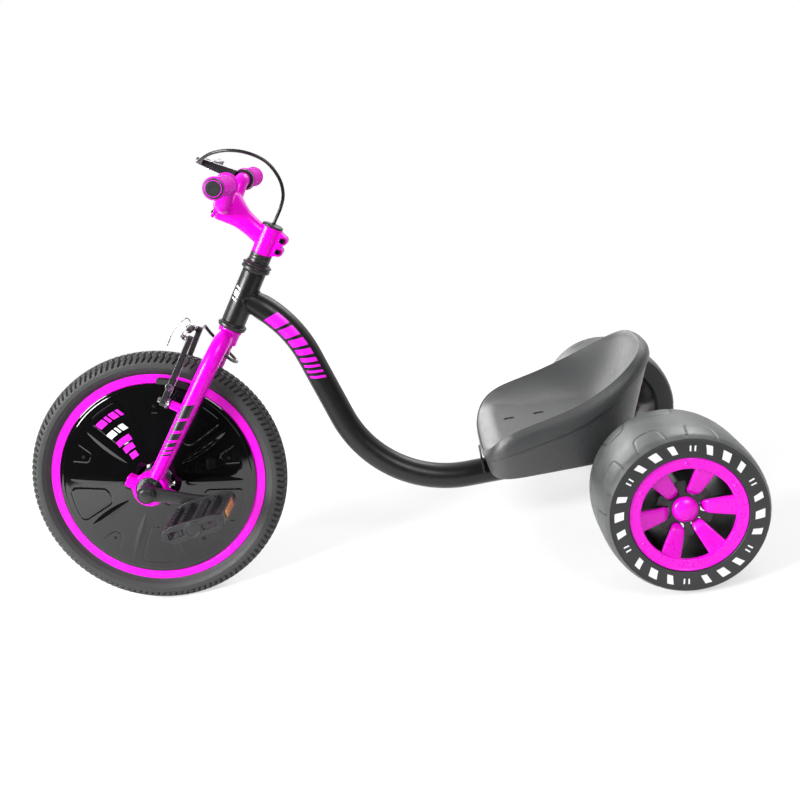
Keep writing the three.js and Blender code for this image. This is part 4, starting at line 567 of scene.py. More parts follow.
def makeCamera(fit):
    yaw, pitch, roll = fit["yaw"], fit["pitch"], fit["roll"]
    level = np.array([math.sin(yaw), -math.cos(yaw), 0])
    right = np.array([-math.cos(yaw), -math.sin(yaw), 0])
    up = np.array([0, 0, 1.0])
    ahead = level * math.cos(pitch) - up * math.sin(pitch)
    above = up * math.cos(pitch) + level * math.sin(pitch)
    x = right * math.cos(roll) + above * math.sin(roll)
    y = above * math.cos(roll) - right * math.sin(roll)
    lens = bpy.data.cameras.new("camera")
    lens.sensor_width = 36
    lens.lens = fit["focal"] / fit["picture"] * 36
    lens.shift_y = -fit["middleUp"] / fit["picture"]
    lens.clip_start, lens.clip_end = 0.05, 60
    camera = bpy.data.objects.new("camera", lens)
    bpy.context.scene.collection.objects.link(camera)
    origin = inRow(chassis, [fit["x"], fit["y"], fit["z"]])
    turn = Matrix([[x[i], y[i], -ahead[i], origin[i]] for i in range(3)] + [[0, 0, 0, 1]])
    camera.matrix_world = turn
    bpy.context.scene.camera = camera


makeCamera(cameraFit)

# light: a pale room, one large soft lamp ahead and above, and three weaker soft lamps round the trike
lightLook = {
    "room": 0.4,  # how strongly the room lights matt surfaces
    "mirrored": (0.9, 0.05),  # the room in glossy surfaces: its pale wall, and its dark end in front
    "mirrorEdge": (-0.35, 0.25),  # how far a direction points ahead in Y where the wall gives way to the dark
    "aim": (0, 0, 0.25),  # metres
    "lamps": [  # place in metres, size in metres, watts
        {"at": (2.4, 1.55, 1.55), "size": 1.3, "power": 165},
        {"at": (-1.6, 2.6, 2.1), "size": 1.2, "power": 46},
        {"at": (-1.5, -1.8, 2.2), "size": 1.6, "power": 40},
        {"at": (0.8, -2.4, 1.05), "size": 1.5, "power": 28},
    ],
    "floorSize": 60,
    "bounce": "#969696",  # the paper as matt surfaces see it, darker so that undersides stay dark
    "floorLift": 0.6,  # how far shadows on the floor are lifted to even white
    "floorFade": (0.9, 2.6),  # metres from the trike over which all of it becomes even white
    "paperEnd": (0.62, 0.72),  # where the paper ends in front, as only glossy surfaces show
}


def makeLight(look):
    scene = bpy.context.scene
    world = bpy.data.worlds.new("pale room")
    scene.world = world
    world.use_nodes = True
    tree = world.node_tree
    tree.nodes.clear()
    path = addNode(tree, "LightPath")
    camera, through = path.outputs["Is Camera Ray"], path.outputs["Is Transmission Ray"]
    shown = addNode(tree, "Math", {"operation": "MAXIMUM"}, i0=camera, i1=through).outputs[0]
    towards = addNode(
        tree, "SeparateXYZ", Vector=addNode(tree, "TexCoord").outputs["Generated"],
    ).outputs["Y"]
    (low, high), (wall, dark) = look["mirrorEdge"], look["mirrored"]
    mirror = addNode(
        tree, "MapRange", inputs={"From Min": low, "From Max": high, "To Min": wall, "To Max": dark},
        Value=towards,
    ).outputs["Result"]
    number, glossy = {"data_type": "FLOAT"}, path.outputs["Is Glossy Ray"]
    lit = addNode(tree, "Mix", number, {"A": look["room"]}, Factor=glossy, B=mirror).outputs["Result"]
    strength = addNode(tree, "Mix", number, {"B": 1.0}, Factor=shown, A=lit).outputs["Result"]
    back = addNode(tree, "Background", inputs={"Color": (1, 1, 1, 1)}, Strength=strength)
    addNode(tree, "OutputWorld", Surface=back.outputs["Background"])
    for i, lamp in enumerate(look["lamps"]):
        light = bpy.data.lights.new(f"soft lamp {i + 1}", "AREA")
        light.shape, light.size, light.energy = "DISK", lamp["size"], lamp["power"]
        shade = bpy.data.objects.new(light.name, light)
        scene.collection.objects.link(shade)
        at = np.array(lamp["at"])
        aim = np.array(look["aim"]) - at
        aim /= np.linalg.norm(aim)
        across = np.cross(aim, (0, 0, 1))
        across /= np.linalg.norm(across)
        above = np.cross(across, aim)
        shade.matrix_world = Matrix(
            [[across[k], above[k], -aim[k], at[k]] for k in range(3)] + [[0, 0, 0, 1]]
        )
    scene.view_settings.view_transform = "Standard"


def makeFloor(look):
    # white paper floor: matt and shadowed near the trike, even white far away so that no horizon shows
    half = look["floorSize"] / 2
    mesh = bpy.data.meshes.new("paper floor")
    mesh.from_pydata(
        [(-half, -half, 0), (half, -half, 0), (half, half, 0), (-half, half, 0)], [], [(0, 1, 2, 3)],
    )
    floor = bpy.data.objects.new("paper floor", mesh)
    bpy.context.scene.collection.objects.link(floor)
    material = bpy.data.materials.new("white background paper")
    material.use_nodes = True
    tree = material.node_tree
    tree.nodes.clear()
    position = addNode(tree, "TexCoord").outputs["Object"]
    path = addNode(tree, "LightPath")
    grain = addNode(tree, "TexNoise", inputs={"Scale": 400.0}, Vector=position)
    relief = addNode(
        tree, "Bump", inputs={"Strength": 0.05, "Distance": 0.0002}, Height=grain.outputs["Fac"],
    )
    tones = {6: colourOf("#fbfbfb"), 7: colourOf(look["bounce"])}
    tone = addNode(tree, "Mix", {"data_type": "RGBA"}, tones, i0=path.outputs["Is Diffuse Ray"]).outputs[2]
    paper = addNode(
        tree, "BsdfPrincipled", inputs={"Roughness": 0.9}, Base_Color=tone, Normal=relief.outputs["Normal"]
    )
    # the lift to even white, for the camera alone
    near, far = look["floorFade"]
    reach = addNode(tree, "VectorMath", {"operation": "LENGTH"}, i0=position).outputs["Value"]
    lifted = {"From Min": near, "From Max": far, "To Min": look["floorLift"]}
    fade = addNode(
        tree, "MapRange", {"interpolation_type": "SMOOTHSTEP"}, lifted, Value=reach,
    ).outputs["Result"]
    amount = addNode(
        tree, "Math", {"operation": "MULTIPLY"}, i0=path.outputs["Is Camera Ray"], i1=fade,
    ).outputs[0]
    glow = addNode(tree, "Emission", inputs={"Color": (1, 1, 1, 1), "Strength": 1.0}).outputs["Emission"]
    mixed = addNode(tree, "MixShader", i0=amount, i1=paper.outputs["BSDF"], i2=glow).outputs["Shader"]
    # the dark beyond the paper's end, for glossy surfaces alone
    near, far = look["paperEnd"]
    ahead = addNode(tree, "SeparateXYZ", Vector=position).outputs["Y"]
    over = addNode(
        tree, "MapRange", inputs={"From Min": near, "From Max": far}, Value=ahead,
    ).outputs["Result"]
    beyond = addNode(
        tree, "Math", {"operation": "MULTIPLY"}, i0=path.outputs["Is Glossy Ray"], i1=over,
    ).outputs[0]
    dark = addNode(tree, "Emission", inputs={"Color": (1, 1, 1, 1), "Strength": 0.02}).outputs["Emission"]
    ended = addNode(tree, "MixShader", i0=beyond, i1=mixed, i2=dark)
    addNode(tree, "OutputMaterial", Surface=ended.outputs["Shader"])
    mesh.materials.append(material)


makeLight(lightLook)
makeFloor(lightLook)
print("camera, lamps and floor placed")

# head, stem and bar sizes that several pieces share
headSizes = {
    "tubeRadius": 17.8,
    "tubeBore": 15.6,
    "tubeBottom": 9.3,
    "tubeLength": 82,
    "cupHeight": 9,
    "cupRadius": 21.6,
    "coverHeight": 5.6,
    "spacerHeight": 13.5,
    "spacerRadius": 16,
    "gap": 0.3,
}
tubeTop = headSizes["tubeBottom"] + headSizes["tubeLength"]
headsetTop = tubeTop + headSizes["gap"] + headSizes["cupHeight"]
coverBottom = headsetTop + headSizes["gap"]
spacerBottom = coverBottom + headSizes["coverHeight"] + headSizes["gap"]
stemSizes = {"reach": 77.5, "rise": rad(18.5), "height": 42}
stemBottom = spacerBottom + headSizes["spacerHeight"] + headSizes["gap"]
stemTop = stemBottom + stemSizes["height"]
barMiddle = (
    stemSizes["reach"] * math.cos(stemSizes["rise"]),
    stemBottom + stemSizes["height"] / 2 + stemSizes["reach"] * math.sin(stemSizes["rise"]),
)
barSizes = {
    "clampRadius": 12.7,
    "radius": 11.1,
    "taper": (44, 62),  # along the tube from its middle
    "rise": 36,
    "half": 160,
    "straightHalf": 21,
    "bendRadius": 18,
    "bendAngle": rad(72),
}
barAxis = barMiddle[1] + barSizes["rise"]

# brake cable: one housing from the lever's adjuster, over in an arch, down through the hollow steerer,
# out under the crown and round behind the right leg into the noodle; the points are the source's own
cableSizes = {"radius": 2.5, "adjusterAhead": 70, "adjusterEnd": -51.85, "noodle": (46, -64, -33)}
noodleX, noodleY, noodleZ = cableSizes["noodle"]
adjusterX = barMiddle[0] + cableSizes["adjusterAhead"]
cableRoute = [
    (adjusterX, cableSizes["adjusterEnd"] - 5.5, barAxis),
    (adjusterX, cableSizes["adjusterEnd"] + 8, barAxis),
    (139, -27, 205),
    (125, -9, 223),
    (102, 4, 239),
    (73, 9, 248),
    (43, 8, 247),
    (18, 6, 233),
    (4, 3, 214),
    (0, 0, 194),
    (0, 0, 170),
    (0, 0, 120),
    (0, 0, 60),
    (0, 0, 0),
    (0, 0, -26),
    (-4, -4, -42),
    (-15, -16, -51),
    (-23, -34, -57),
    (-22, -56, -61),
    (-8, -73, -60),
    (14, -80, -52),
    (34, -77, -42),
    (noodleX - 1, noodleY - 8, noodleZ - 1),
    (noodleX, noodleY - 4, noodleZ),
    (noodleX, noodleY - 0.9, noodleZ),
]


def makeCable():
    path = smoothPath(cableRoute, 340)
    housing = swept(path, cableSizes["radius"], 14)
    piece = makePiece(
        "brakeCable", housing, steering, "steering", "brake_cable", "cable_housing", cableHousing,
    )


makeCable()
print("cable laid")

# frame: one tube, bent twice, from the head tube down to the axle tube; cut, mitred and welded steel
tubeSizes = {
    "radius": 19.05,
    "mitreRadius": 17.3,  # where it is fitted round the head tube
    "start": 48.8,
    "firstSlope": rad(37.2),
    "steepSlope": rad(74),
    "stub": 11.4,
    "upperBend": 189.8,
    "lowerBend": 174.7,
    "fitted": (12, 24),  # where the fitted end gives way to the full tube, and over what run
    "axleTubeRadius": 15.9,
    "axleTubeBore": 8.1,
    "axleTubeHalf": 150,
    "axleHeight": 105.5,
    "gusset": 47.7,
    "gussetHalf": 3,
    "beadRadius": 1.9,
    "beadRipples": 22,
    "rippleShare": 0.14,
}
headBase = (steering["origin"] - chassis["origin"]) * 1000
tubeStart = headBase + tubeSizes["start"] * headAxis


def mainTubePath(sizes):
    # straight stub, arc, straight, arc, straight: each short step follows the slope at its middle
    first, steep = sizes["firstSlope"], sizes["steepSlope"]

    def arc(low, high, radius):
        slopes = np.linspace(low, high, 2 + int(abs(high - low) / rad(1.5)))
        return (slopes[1:] + slopes[:-1]) / 2, radius * np.abs(np.diff(slopes))

    def straight(slope, length, count):
        return np.full(count, slope), np.full(count, length / count)

    stub = straight(first, sizes["stub"], 4)
    upper, lower = arc(first, steep, sizes["upperBend"]), arc(steep, 0, sizes["lowerBend"])
    fallen = sum((np.sin(slope) * step).sum() for slope, step in (stub, upper, lower))
    middle = straight(steep, (tubeStart[2] - sizes["axleHeight"] - fallen) / math.sin(steep), 8)
    run = sum((np.cos(slope) * step).sum() for slope, step in (stub, upper, middle, lower))
    tail = straight(0, tubeStart[0] - run, 12)
    slopes, steps = (np.concatenate(part) for part in zip(stub, upper, middle, lower, tail))
    offsets = np.stack([-np.cos(slopes) * steps, 0 * steps, -np.sin(slopes) * steps], -1)
    return tubeStart + np.concatenate([[[0, 0, 0]], np.cumsum(offsets, 0)])


def weldBead(start, direction, radius, axis, otherRadius, sizes):
    # the line where a round tube meets another: each side line of the first is run out to the second's skin,
    # and a bead that ripples as a cosine is laid along it
    direction, axis = np.array(direction, float), np.array(axis, float)
    turn = np.linspace(0, 2 * np.pi, 150, endpoint=False)
    e1 = np.cross(direction, axis)
    e1 /= np.linalg.norm(e1)
    e2 = np.cross(direction, e1)
    offset = radius * (np.cos(turn)[:, None] * e1 + np.sin(turn)[:, None] * e2)
    flat = offset - (offset @ axis)[:, None] * axis
    line = direction - (direction @ axis) * axis
    b, c = flat @ line, (flat**2).sum(1) - otherRadius**2
    reach = (-b + np.sqrt(np.maximum(b**2 - line @ line * c, 0))) / (line @ line)
    path = start + reach[:, None] * direction + offset
    ripple = 1 + sizes["rippleShare"] * np.cos(sizes["beadRipples"] * turn)
    return swept(path, sizes["beadRadius"] * ripple, 10, closed=True)


def makeFrame(sizes):
    # the main tube swells from its fitted end by a cubic; head tube and axle tube are turned round their axes
    path = mainTubePath(sizes)
    start, over = sizes["fitted"]
    fitted = np.clip((runLength(path) - start) / over, 0, 1)
    mitre, full, height = sizes["mitreRadius"], sizes["radius"], sizes["axleHeight"]
    radius = mitre + (full - mitre) * fitted**2 * (3 - 2 * fitted)
    first = [-math.cos(sizes["firstSlope"]), 0, -math.sin(sizes["firstSlope"])]
    across = sizes["axleTubeRadius"]
    tube = [
        swept(path, radius, 64),
        weldBead(tubeStart, first, mitre + 0.2, headAxis, headSizes["tubeRadius"], sizes),
        weldBead((0, 0, height), (1, 0, 0), full, (0, 1, 0), across, sizes),
    ]
    makePiece("mainTube", tube, chassis, "frame", "frame", *blackPaint)
    bore, skin, low = headSizes["tubeBore"], headSizes["tubeRadius"], headSizes["tubeBottom"]
    wall = alongZ(ringTurned([[bore, low], [skin, low], [skin, tubeTop], [bore, tubeTop]], 64, 0.8))
    makePiece("headTube", wall, steering, "frame", "frame", *blackPaint)
    bore, half, reach = sizes["axleTubeBore"], sizes["axleTubeHalf"], sizes["gusset"]
    wall = ringTurned([[bore, -half], [across, -half], [across, half], [bore, half]], 48, 1.2)
    gusset = roundCorners([[0, -reach], [reach, 0], [0, reach]], 3)
    gusset = drawn(gusset, -sizes["gussetHalf"], sizes["gussetHalf"], "xy")
    tail = [shifted(shell, z=height) for shell in (wall, gusset)]
    makePiece("axleTube", tail, chassis, "frame", "frame", *blackPaint)
    return path


bracketSizes = {
    "front": 194,
    "rear": 74,
    "top": 173.7,
    "sheet": 3,
    "halfWidth": 28,
    "mastHalf": 9.5,
    "lip": 12,
    "windowLow": 132.6,
    "windowHigh": 161.7,
    "windowMargin": 16,
    "windowPost": 8,  # half of what stands between the windows
    "plateAhead": 232.6,
    "plateLow": 110.3,
    "plateHigh": 138.3,
}


def makeBracket(sizes):
    # folded channel that the seat is bolted to, on a mast with two windows, and the plate in front of it
    sheet, top, half, lip = sizes["sheet"], sizes["top"], sizes["halfWidth"], sizes["top"] - sizes["lip"]
    rear, front, middle = sizes["rear"], sizes["front"], (sizes["rear"] + sizes["front"]) / 2
    channel = roundCorners([[-half, lip], [-half, top], [half, top], [half, lip]], [0.5, 3, 3, 0.5])
    within, under = half - sheet, top - sheet
    inner = roundCorners(
        [[within, lip], [within, under], [-within, under], [-within, lip]], [0.5, 1, 1, 0.5],
    )
    channel = drawn(np.concatenate([channel, inner]), rear, front, "yz")
    makePiece("seatBracket", channel, chassis, "frame", "frame", *blackPaint, bevel=0.8)
    thick = sizes["mastHalf"]
    mast = boxed((rear + 0.3, -thick, tubeSizes["axleHeight"]), (front - 0.3, thick, top - 1.6))
    mast = makePiece("seatMast", mast, chassis, "frame", "frame", *blackPaint, bevel=0.8)
    margin, post = sizes["windowMargin"], sizes["windowPost"]
    low, high = sizes["windowLow"], sizes["windowHigh"]
    windows = []
    for a, b in ((rear + margin, middle - post), (middle + post, front - margin)):
        window = roundCorners([[a, low], [b, low], [b, high], [a, high]], 4)
        windows.append(drawn(window, -2 * thick, 2 * thick))
    carve(mast, windows, chassis)
    low, high, ahead = sizes["plateLow"], sizes["plateHigh"], sizes["plateAhead"]
    plate = roundCorners([[-half, low], [half, low], [half, high], [-half, high]], 5)
    plate = drawn(plate, ahead, ahead + sheet, "yz")
    makePiece("seatFrontPlate", plate, chassis, "frame", "frame", *blackPaint, bevel=0.6)


def makeHeadset():
    # pressed cups, dust cover and spacer: turned alloy, each with its own lip and groove
    def ring(name, profile, reach, height, body, node, side=1):
        shell = shifted(alongZ(facing(ringTurned(profile, 72, reach), side)), z=height)
        makePiece(name, shell, steering, body, node, *blackMetal)

    r, h, gap = headSizes["cupRadius"], headSizes["cupHeight"], headSizes["gap"]
    cup = [
        [13.2, -9], [15.3, -9], [15.3, 0], [17.8, 0], [18.6, 0.8], [18.9, 2], [r, 3.1], [r, h - 2.6],
        [r - 1.3, h - 1.9], [r - 1.3, h - 1.2], [r - 0.6, h - 0.4], [r - 1.4, h], [19.2, h],
        [19.2, h - 6.7], [13.2, h - 6.7],
    ]
    ring("lowerHeadsetCup", cup, 0.45, headSizes["tubeBottom"] - gap, "frame", "lower_headset_cup", -1)
    ring("upperHeadsetCup", cup, 0.45, tubeTop + gap, "frame", "upper_headset_cup")
    c = headSizes["coverHeight"]
    cover = [
        [13, 0], [r - 0.4, 0], [r + 0.6, 1], [r + 0.6, 2.1], [r - 0.6, 3], [r - 3.2, 4.4], [r - 3.4, c],
        [13, c],
    ]
    ring("headsetCover", cover, 0.5, coverBottom, "steering", "headset_cover")
    s, q = headSizes["spacerHeight"], headSizes["spacerRadius"]
    spacer = [
        [13, 0], [q, 0], [q, 4.2], [q - 0.8, 4.6], [q - 0.8, 5.1], [q, 5.5], [q, s - 4.6],
        [q - 0.7, s - 4.2], [q - 0.7, s - 3.8], [q, s - 3.4], [q, s], [13, s],
    ]
    ring("headsetSpacer", spacer, 0.35, spacerBottom, "steering", "headset_spacer")
    cap = [[2.8, 0], [15.4, 0], [15.9, 0.6], [15.9, 2], [15.2, 2.8], [12.6, 4.2], [6, 4.9], [2.8, 5.2]]
    ring("topCap", cap, 0.5, stemTop + gap, "steering", "top_cap")


mainPath = makeFrame(tubeSizes)
makeBracket(bracketSizes)
makeHeadset()
print("frame and headset made")

# seat: one blow-moulded bucket, a grained roll round the crisp rim, a fold line under it and a skirt below
seatSizes = {
    "middle": 110.7,  # ahead of the rear axle
    "frontReach": 121,
    "backReach": 134,
    "halfWidth": 122,
    "skirtBottom": 129,
    "frontHeight": 159.5,
    "backHeight": 269.7,
    "rollTall": 29,
    "rollOut": 6.4,
    "rollBackOut": 5.5,
    "foldStep": 2,
    "backLean": 54,
    "skirtDraw": 4,
    "floor": 179,
    "wall": 5,
    "slots": (182, 137),
    "slotLength": 17,
    "slotWidth": 9,
    # the roll's section, from the fold line up to the rim: shares of its width and of its height down
    "roll": [
        (0.9, 1.0), (0.97, 0.985), (1.0, 0.95), (1.0, 0.88), (0.99, 0.78), (0.96, 0.65), (0.91, 0.52),
        (0.82, 0.41), (0.7, 0.32), (0.56, 0.24), (0.4, 0.16), (0.22, 0.08), (0.1, 0.025), (0.03, 0.0),
    ],
    # the skirt's foot: shares of the wall inwards and of the depth down
    "foot": [(0.8, 0.99), (0.5, 1.0), (0.22, 0.995), (0.05, 0.97)],
}


def seatRim(sizes, count):
    # plan: a rounded square at the front and nearly an ellipse at the back, points evenly apart;
    # the rim climbs a little along the sides and most at the back, and rolls down at the front
    turn = np.linspace(0, 2 * np.pi, 1441)
    forward, across = np.cos(turn), np.sin(turn)
    ahead = forward > 0
    reach = np.where(ahead, sizes["frontReach"], sizes["backReach"])
    x = np.sign(forward) * np.abs(forward) ** np.where(ahead, 0.24, 0.95) * reach
    y = np.sign(across) * np.abs(across) ** np.where(ahead, 0.53, 0.67) * sizes["halfWidth"]
    run = runLength(np.stack([x, y], -1))
    even = np.linspace(0, run[-1], count + 1)[:-1]
    x, y = np.interp(even, run, x), np.interp(even, run, y)
    share = np.clip((x + sizes["backReach"]) / (sizes["frontReach"] + sizes["backReach"]), 0, 1)
    rise = 0.36 * (1 - share**10) + 0.64 * (1 - share) ** 2.3
    z = sizes["frontHeight"] + rise * (sizes["backHeight"] - sizes["frontHeight"])
    nose = 1 - 0.8 * share**14
    behind = np.maximum(0, -x / sizes["backReach"])
    tall = sizes["rollTall"] * np.minimum(1, 0.58 + share) * nose
    out = (sizes["rollOut"] + sizes["rollBackOut"] * behind**2) * nose
    return x, y, z, behind, tall, out


def makeSeat(sizes):
    # rows round the rim's plan, from the middle of the underside out, round the skirt and roll, and in again:
    # the bowl is flat in the middle and climbs by a power of the share left
    x, y, z, behind, tall, out = seatRim(sizes, 400)
    floor, wall, fold = sizes["floor"], sizes["wall"], sizes["foldStep"]
    reach = np.hypot(x, y)

    def layer(share, height):
        return np.stack([sizes["middle"] + x * share, y * share, height + 0 * x], -1)

    def outside(outwards, height, ahead=0):
        wider = 1 + outwards / reach
        return np.stack([sizes["middle"] + x * wider + ahead, y * wider, height + 0 * x], -1)

    def roll(outShare, downShare):
        return outside(out * outShare, z - tall * downShare)

    def skirt(inset, depth):
        top, lean = z - tall, sizes["skirtDraw"] * depth * (1 - behind)
        height = top - (top - sizes["skirtBottom"]) * depth
        return outside(out - inset - lean, height, sizes["backLean"] * behind**2 * depth)

    def bowl(share):
        falling = np.clip((floor - z) / (2 * wall) + 0.5, 0, 1)
        flat = 0.34 + 0.4 * falling
        return floor + (z - floor) * np.maximum(0, (share - flat) / (1 - flat)) ** 1.9

    def under(share):
        return bowl(share) - wall

    rows = [layer(share, under(share)) for share in (0.0, 0.15, 0.3, 0.45, 0.6, 0.72, 0.8)]
    rows += [layer(0.89, np.minimum(under(0.89), z - tall))]
    rows += [skirt(fold + wall, depth) for depth in (0.12, 0.4, 0.7, 0.95)]
    rows += [skirt(fold + share * wall, depth) for share, depth in sizes["foot"]]
    rows += [skirt(fold, depth) for depth in (0.93, 0.8, 0.65, 0.5, 0.35, 0.22, 0.12, 0.06)]
    rows += [skirt(fold + 0.5, 0.02), skirt(fold + 0.4, 0.004)]
    rows += [roll(*place) for place in sizes["roll"]]
    rows += [layer(0.996, z - 0.1), layer(0.989, z - 0.9)]
    rows += [layer(share, bowl(share)) for share in np.linspace(0.975, 0.0, 40)]
    shell = gridShell(np.array(rows), ends=False)
    piece = makePiece(
        "seatBucket", shell, chassis, "frame", "seat", "grey_seat_plastic", seatShell, sharp=60,
    )
    half, r = sizes["slotLength"] / 2, sizes["slotWidth"] / 2
    a = np.linspace(-np.pi / 2, np.pi / 2, 12)
    ahead, behind = (half - r + r * np.cos(a), r * np.sin(a)), (r - half - r * np.cos(a), -r * np.sin(a))
    outline = np.concatenate([np.stack(end, -1) for end in (ahead, behind)])
    slots = [drawn(outline + [at, 0], floor - 3 * wall, floor + 2 * wall, "xy") for at in sizes["slots"]]
    carve(piece, slots, chassis)


makeSeat(seatSizes)
print("seat made")

# rear wheels: a hard grey sleeve over a black ribbed core, with a magenta petal disc in the outer face
rearSizes = {
    "radius": 105.5,
    "width": 121,
    "faceOut": 286,
    "discRadius": 73.5,
    "discFace": 283.5,
    "ringInner": 59,
    "petals": 6,
    "petalRoot": 13.5,
    "petalTip": 8.7,
    "coreRadius": 19,
    "coreOut": 263.5,
    "hubSplit": 249.6,
    "ribDeep": 74,
    "starReach": 36,
    "domeRadius": 16.5,
    "domeHeight": 9.5,
    "tabs": 10,  # moulded panels round each shoulder
    "tabHalf": 21,
    "tabDepth": 38,
    "lineWidth": 1.0,
    "lineDepth": 0.9,
    "markCount": 24,
    "marks": [  # by turns: bars from and to in degrees, inner and outer radius, slant in degrees
        ([(-2.6, 2.6)], 80.2, 91.6, 2.4),
        ([(-3.6, 3.6)], 80.2, 91.6, 2.4),
        ([(-2.6, 2.6)], 80.2, 91.6, 2.4),
        ([(-2.6, -1.3), (1.3, 2.6)], 82.4, 89.4, 0),
    ],
    "markStart": rad(4),
}


def denseProfile(profile, step):
    # extra points along a closed profile, so that no gap is longer than the step given for each
    closed = np.concatenate([profile, profile[:1]])
    gaps = np.linalg.norm(np.diff(closed, axis=0), axis=1)
    pieces = [
        np.linspace(a, b, max(1, int(math.ceil(gap / s))), endpoint=False)
        for a, b, gap, s in zip(closed[:-1], closed[1:], gaps, np.broadcast_to(step, len(gaps)))
        if gap > 1e-6
    ]
    return np.concatenate(pieces)


def panelLines(sizes, turn, y):
    # how deep the moulded lines are: tabs that reach in from each shoulder, outer and inner ones in turn
    pitch = 2 * np.pi * sizes["radius"] / sizes["tabs"]
    depth = 0
    for edge, shift in ((sizes["faceOut"], 0.0), (sizes["faceOut"] - sizes["width"], 0.5)):
        a = ((turn / (2 * np.pi) * sizes["tabs"] + shift) % 1 - 0.5) * pitch
        inwards = np.abs(y - edge)
        half = sizes["tabHalf"] - 0.16 * inwards
        qa, qb = np.abs(a) - half + 9, inwards - sizes["tabDepth"] + 9
        gap = np.hypot(np.maximum(qa, 0), np.maximum(qb, 0)) + np.minimum(np.maximum(qa, qb), 0) - 9
        depth = np.maximum(depth, np.exp(-((gap / sizes["lineWidth"]) ** 2)))
    return depth


def makeSleeve(side, sizes):
    # a profile with soft shoulders turned round the axle, let in by the depth of the panel lines
    inner, out, r = sizes["faceOut"] - sizes["width"], sizes["faceOut"], sizes["radius"]
    corners = [
        [73.8, inner], [91, inner], [99, inner + 3], [102.6, inner + 9], [r, inner + 30], [r, out - 30],
        [102.6, out - 9], [99.6, out - 3.4], [97.6, out - 0.2], [95.4, out - 1], [74.6, out - 1],
        [73.8, out - 2],
    ]
    profile = roundCorners(corners, [0.6, 5, 4, 7, 16, 16, 7, 2.6, 0.9, 0.8, 0.5, 0.5], 5)
    middle = (profile[:, 0] + np.roll(profile[:, 0], -1)) / 2
    profile = denseProfile(profile, np.where(middle > 99, 1.15, 12))
    turn = np.linspace(0, 2 * np.pi, 540, endpoint=False)
    radius, y = profile[:, :1] + 0 * turn, profile[:, 1:2] + 0 * turn
    tread = np.clip((profile[:, :1] - 99.5) / 1.5, 0, 1)
    line = tread * panelLines(sizes, turn[None], y)
    radius = radius - sizes["lineDepth"] * line
    # the outer face gets the black painted band; the inner face gets the same dark band as painted shade
    faceBandAndPaintedShade = (profile[:, 1] > out - 6) | (profile[:, 1] < inner + 4)
    points = np.stack([radius * np.sin(turn), y, radius * np.cos(turn)], -1)
    band = ((profile[:, 0] < 98.6) & faceBandAndPaintedShade).astype(int)
    shell = gridShell(points, closeAlong=True, ends=False, band=band)
    # painted shade: the moulded lines are drawn darker as well as let in
    shell["shade"] = 0.75 * line.ravel()
    name, body, node = side + "RearSleeve", side + "_rear_wheel", side + "_rear_tyre"
    finishes = [hardSleeve, sleeveFace]
    makePiece(name, shell, rearWheels[side], body, node, "hard_grey_sleeve", finishes, sharp=40)


def makeCore(side, sizes):
    # black moulded barrel, ribs and hub that the sleeve is shrunk onto
    inner, core, split = sizes["faceOut"] - sizes["width"], sizes["coreRadius"], sizes["hubSplit"]
    low, high = inner + 0.4, sizes["discFace"] - 9.4
    barrel = [[69.5, inner + 6], [73.4, low], [73.7, low], [73.7, high], [69.5, high]]
    hub = [[8.3, inner + 15.9], [14.3, inner + 15.9], [14.3, inner + 6], [core, inner + 6]]
    hub += [[core, split], [8.3, split]]
    shells = [ringTurned(barrel, 144, 0.3), ringTurned(hub, 48, 0.6)]
    for k in range(sizes["petals"]):
        rib = boxed((-1.8, inner + 6, core - 2), (1.8, inner + 6 + sizes["ribDeep"], 71.5))
        shells.append(shifted(rib, turnY=(k + 0.5) * 2 * math.pi / sizes["petals"]))
    name, body, node = side + "RearCore", side + "_rear_wheel", side + "_rear_tyre"
    makePiece(name, shells, rearWheels[side], body, node, "hard_grey_sleeve", blackNylon, bevel=0.4)


def petal(sizes, turn):
    # a blade that slopes in from the ring and rolls over to a rounded end beside the hub
    ring, tip = sizes["ringInner"] + 3, 20.5
    reach = ring - (ring - tip) * np.linspace(0, 1, 34)
    roll = np.clip((29.5 - reach) / 9, 0, 1)
    half = np.interp(reach, [29, ring], [sizes["petalTip"], sizes["petalRoot"]])
    half = half * np.sqrt(1 - 0.86 * roll**2)
    drop = np.interp(reach, [29, 60], [12.4, 2.4]) + 8.6 * roll**1.6
    thick = np.interp(reach, [22, 40, 62], [3.4, 3.6, 2.6])
    x, y = softBox(np.linspace(0, 2 * np.pi, 40, endpoint=False), 0.42)
    across = (sizes["discFace"] - 3.2 - drop)[:, None] + thick[:, None] * y
    shell = gridShell(np.stack([half[:, None] * x, across, reach[:, None] + 0 * x], -1))
    # painted shade: the petals are drawn a little darker than the ring, though both are the same plastic
    shell["shade"] += 0.1
    return shifted(shell, turnY=turn)


def makeDisc(side, sizes):
    # a turned ring and hub ring, six petals between and a small turned nub beside each
    face, r, inner = sizes["discFace"], sizes["discRadius"], sizes["ringInner"]
    low, high = sizes["hubSplit"] + 0.3, sizes["coreOut"] - 3.3
    ring = [
        [inner, face - 6.5], [inner, face - 1.3], [inner + 1.2, face - 0.8], [r - 3, face - 0.6],
        [r - 2.2, face], [r - 0.6, face], [r, face - 1], [r, face - 9], [r - 3.6, face - 9],
        [r - 4.6, face - 6.5],
    ]
    shells = [ringTurned(ring, 144, 0.5)]
    nub = knobTurned([[0, -1], [2.3, -1], [2.3, 0], [1.5, 0.8], [0, 0.9]], 18, 0.4)
    for k in range(sizes["petals"]):
        angle = (k + 0.5) * 2 * math.pi / sizes["petals"]
        shells.append(petal(sizes, angle))
        nubAt = angle + rad(24)
        shells.append(shifted(nub, x=66 * math.sin(nubAt), y=face - 0.7, z=66 * math.cos(nubAt)))
    shells.append(ringTurned([[14.3, low], [19, low], [19, high], [14.3, high]], 48, 0.6))
    name, body, node = side + "PetalDisc", side + "_rear_wheel", side + "_wheel_disc"
    makePiece(name, shells, rearWheels[side], body, node, "magenta_plastic", magentaMoulding, sharp=50)


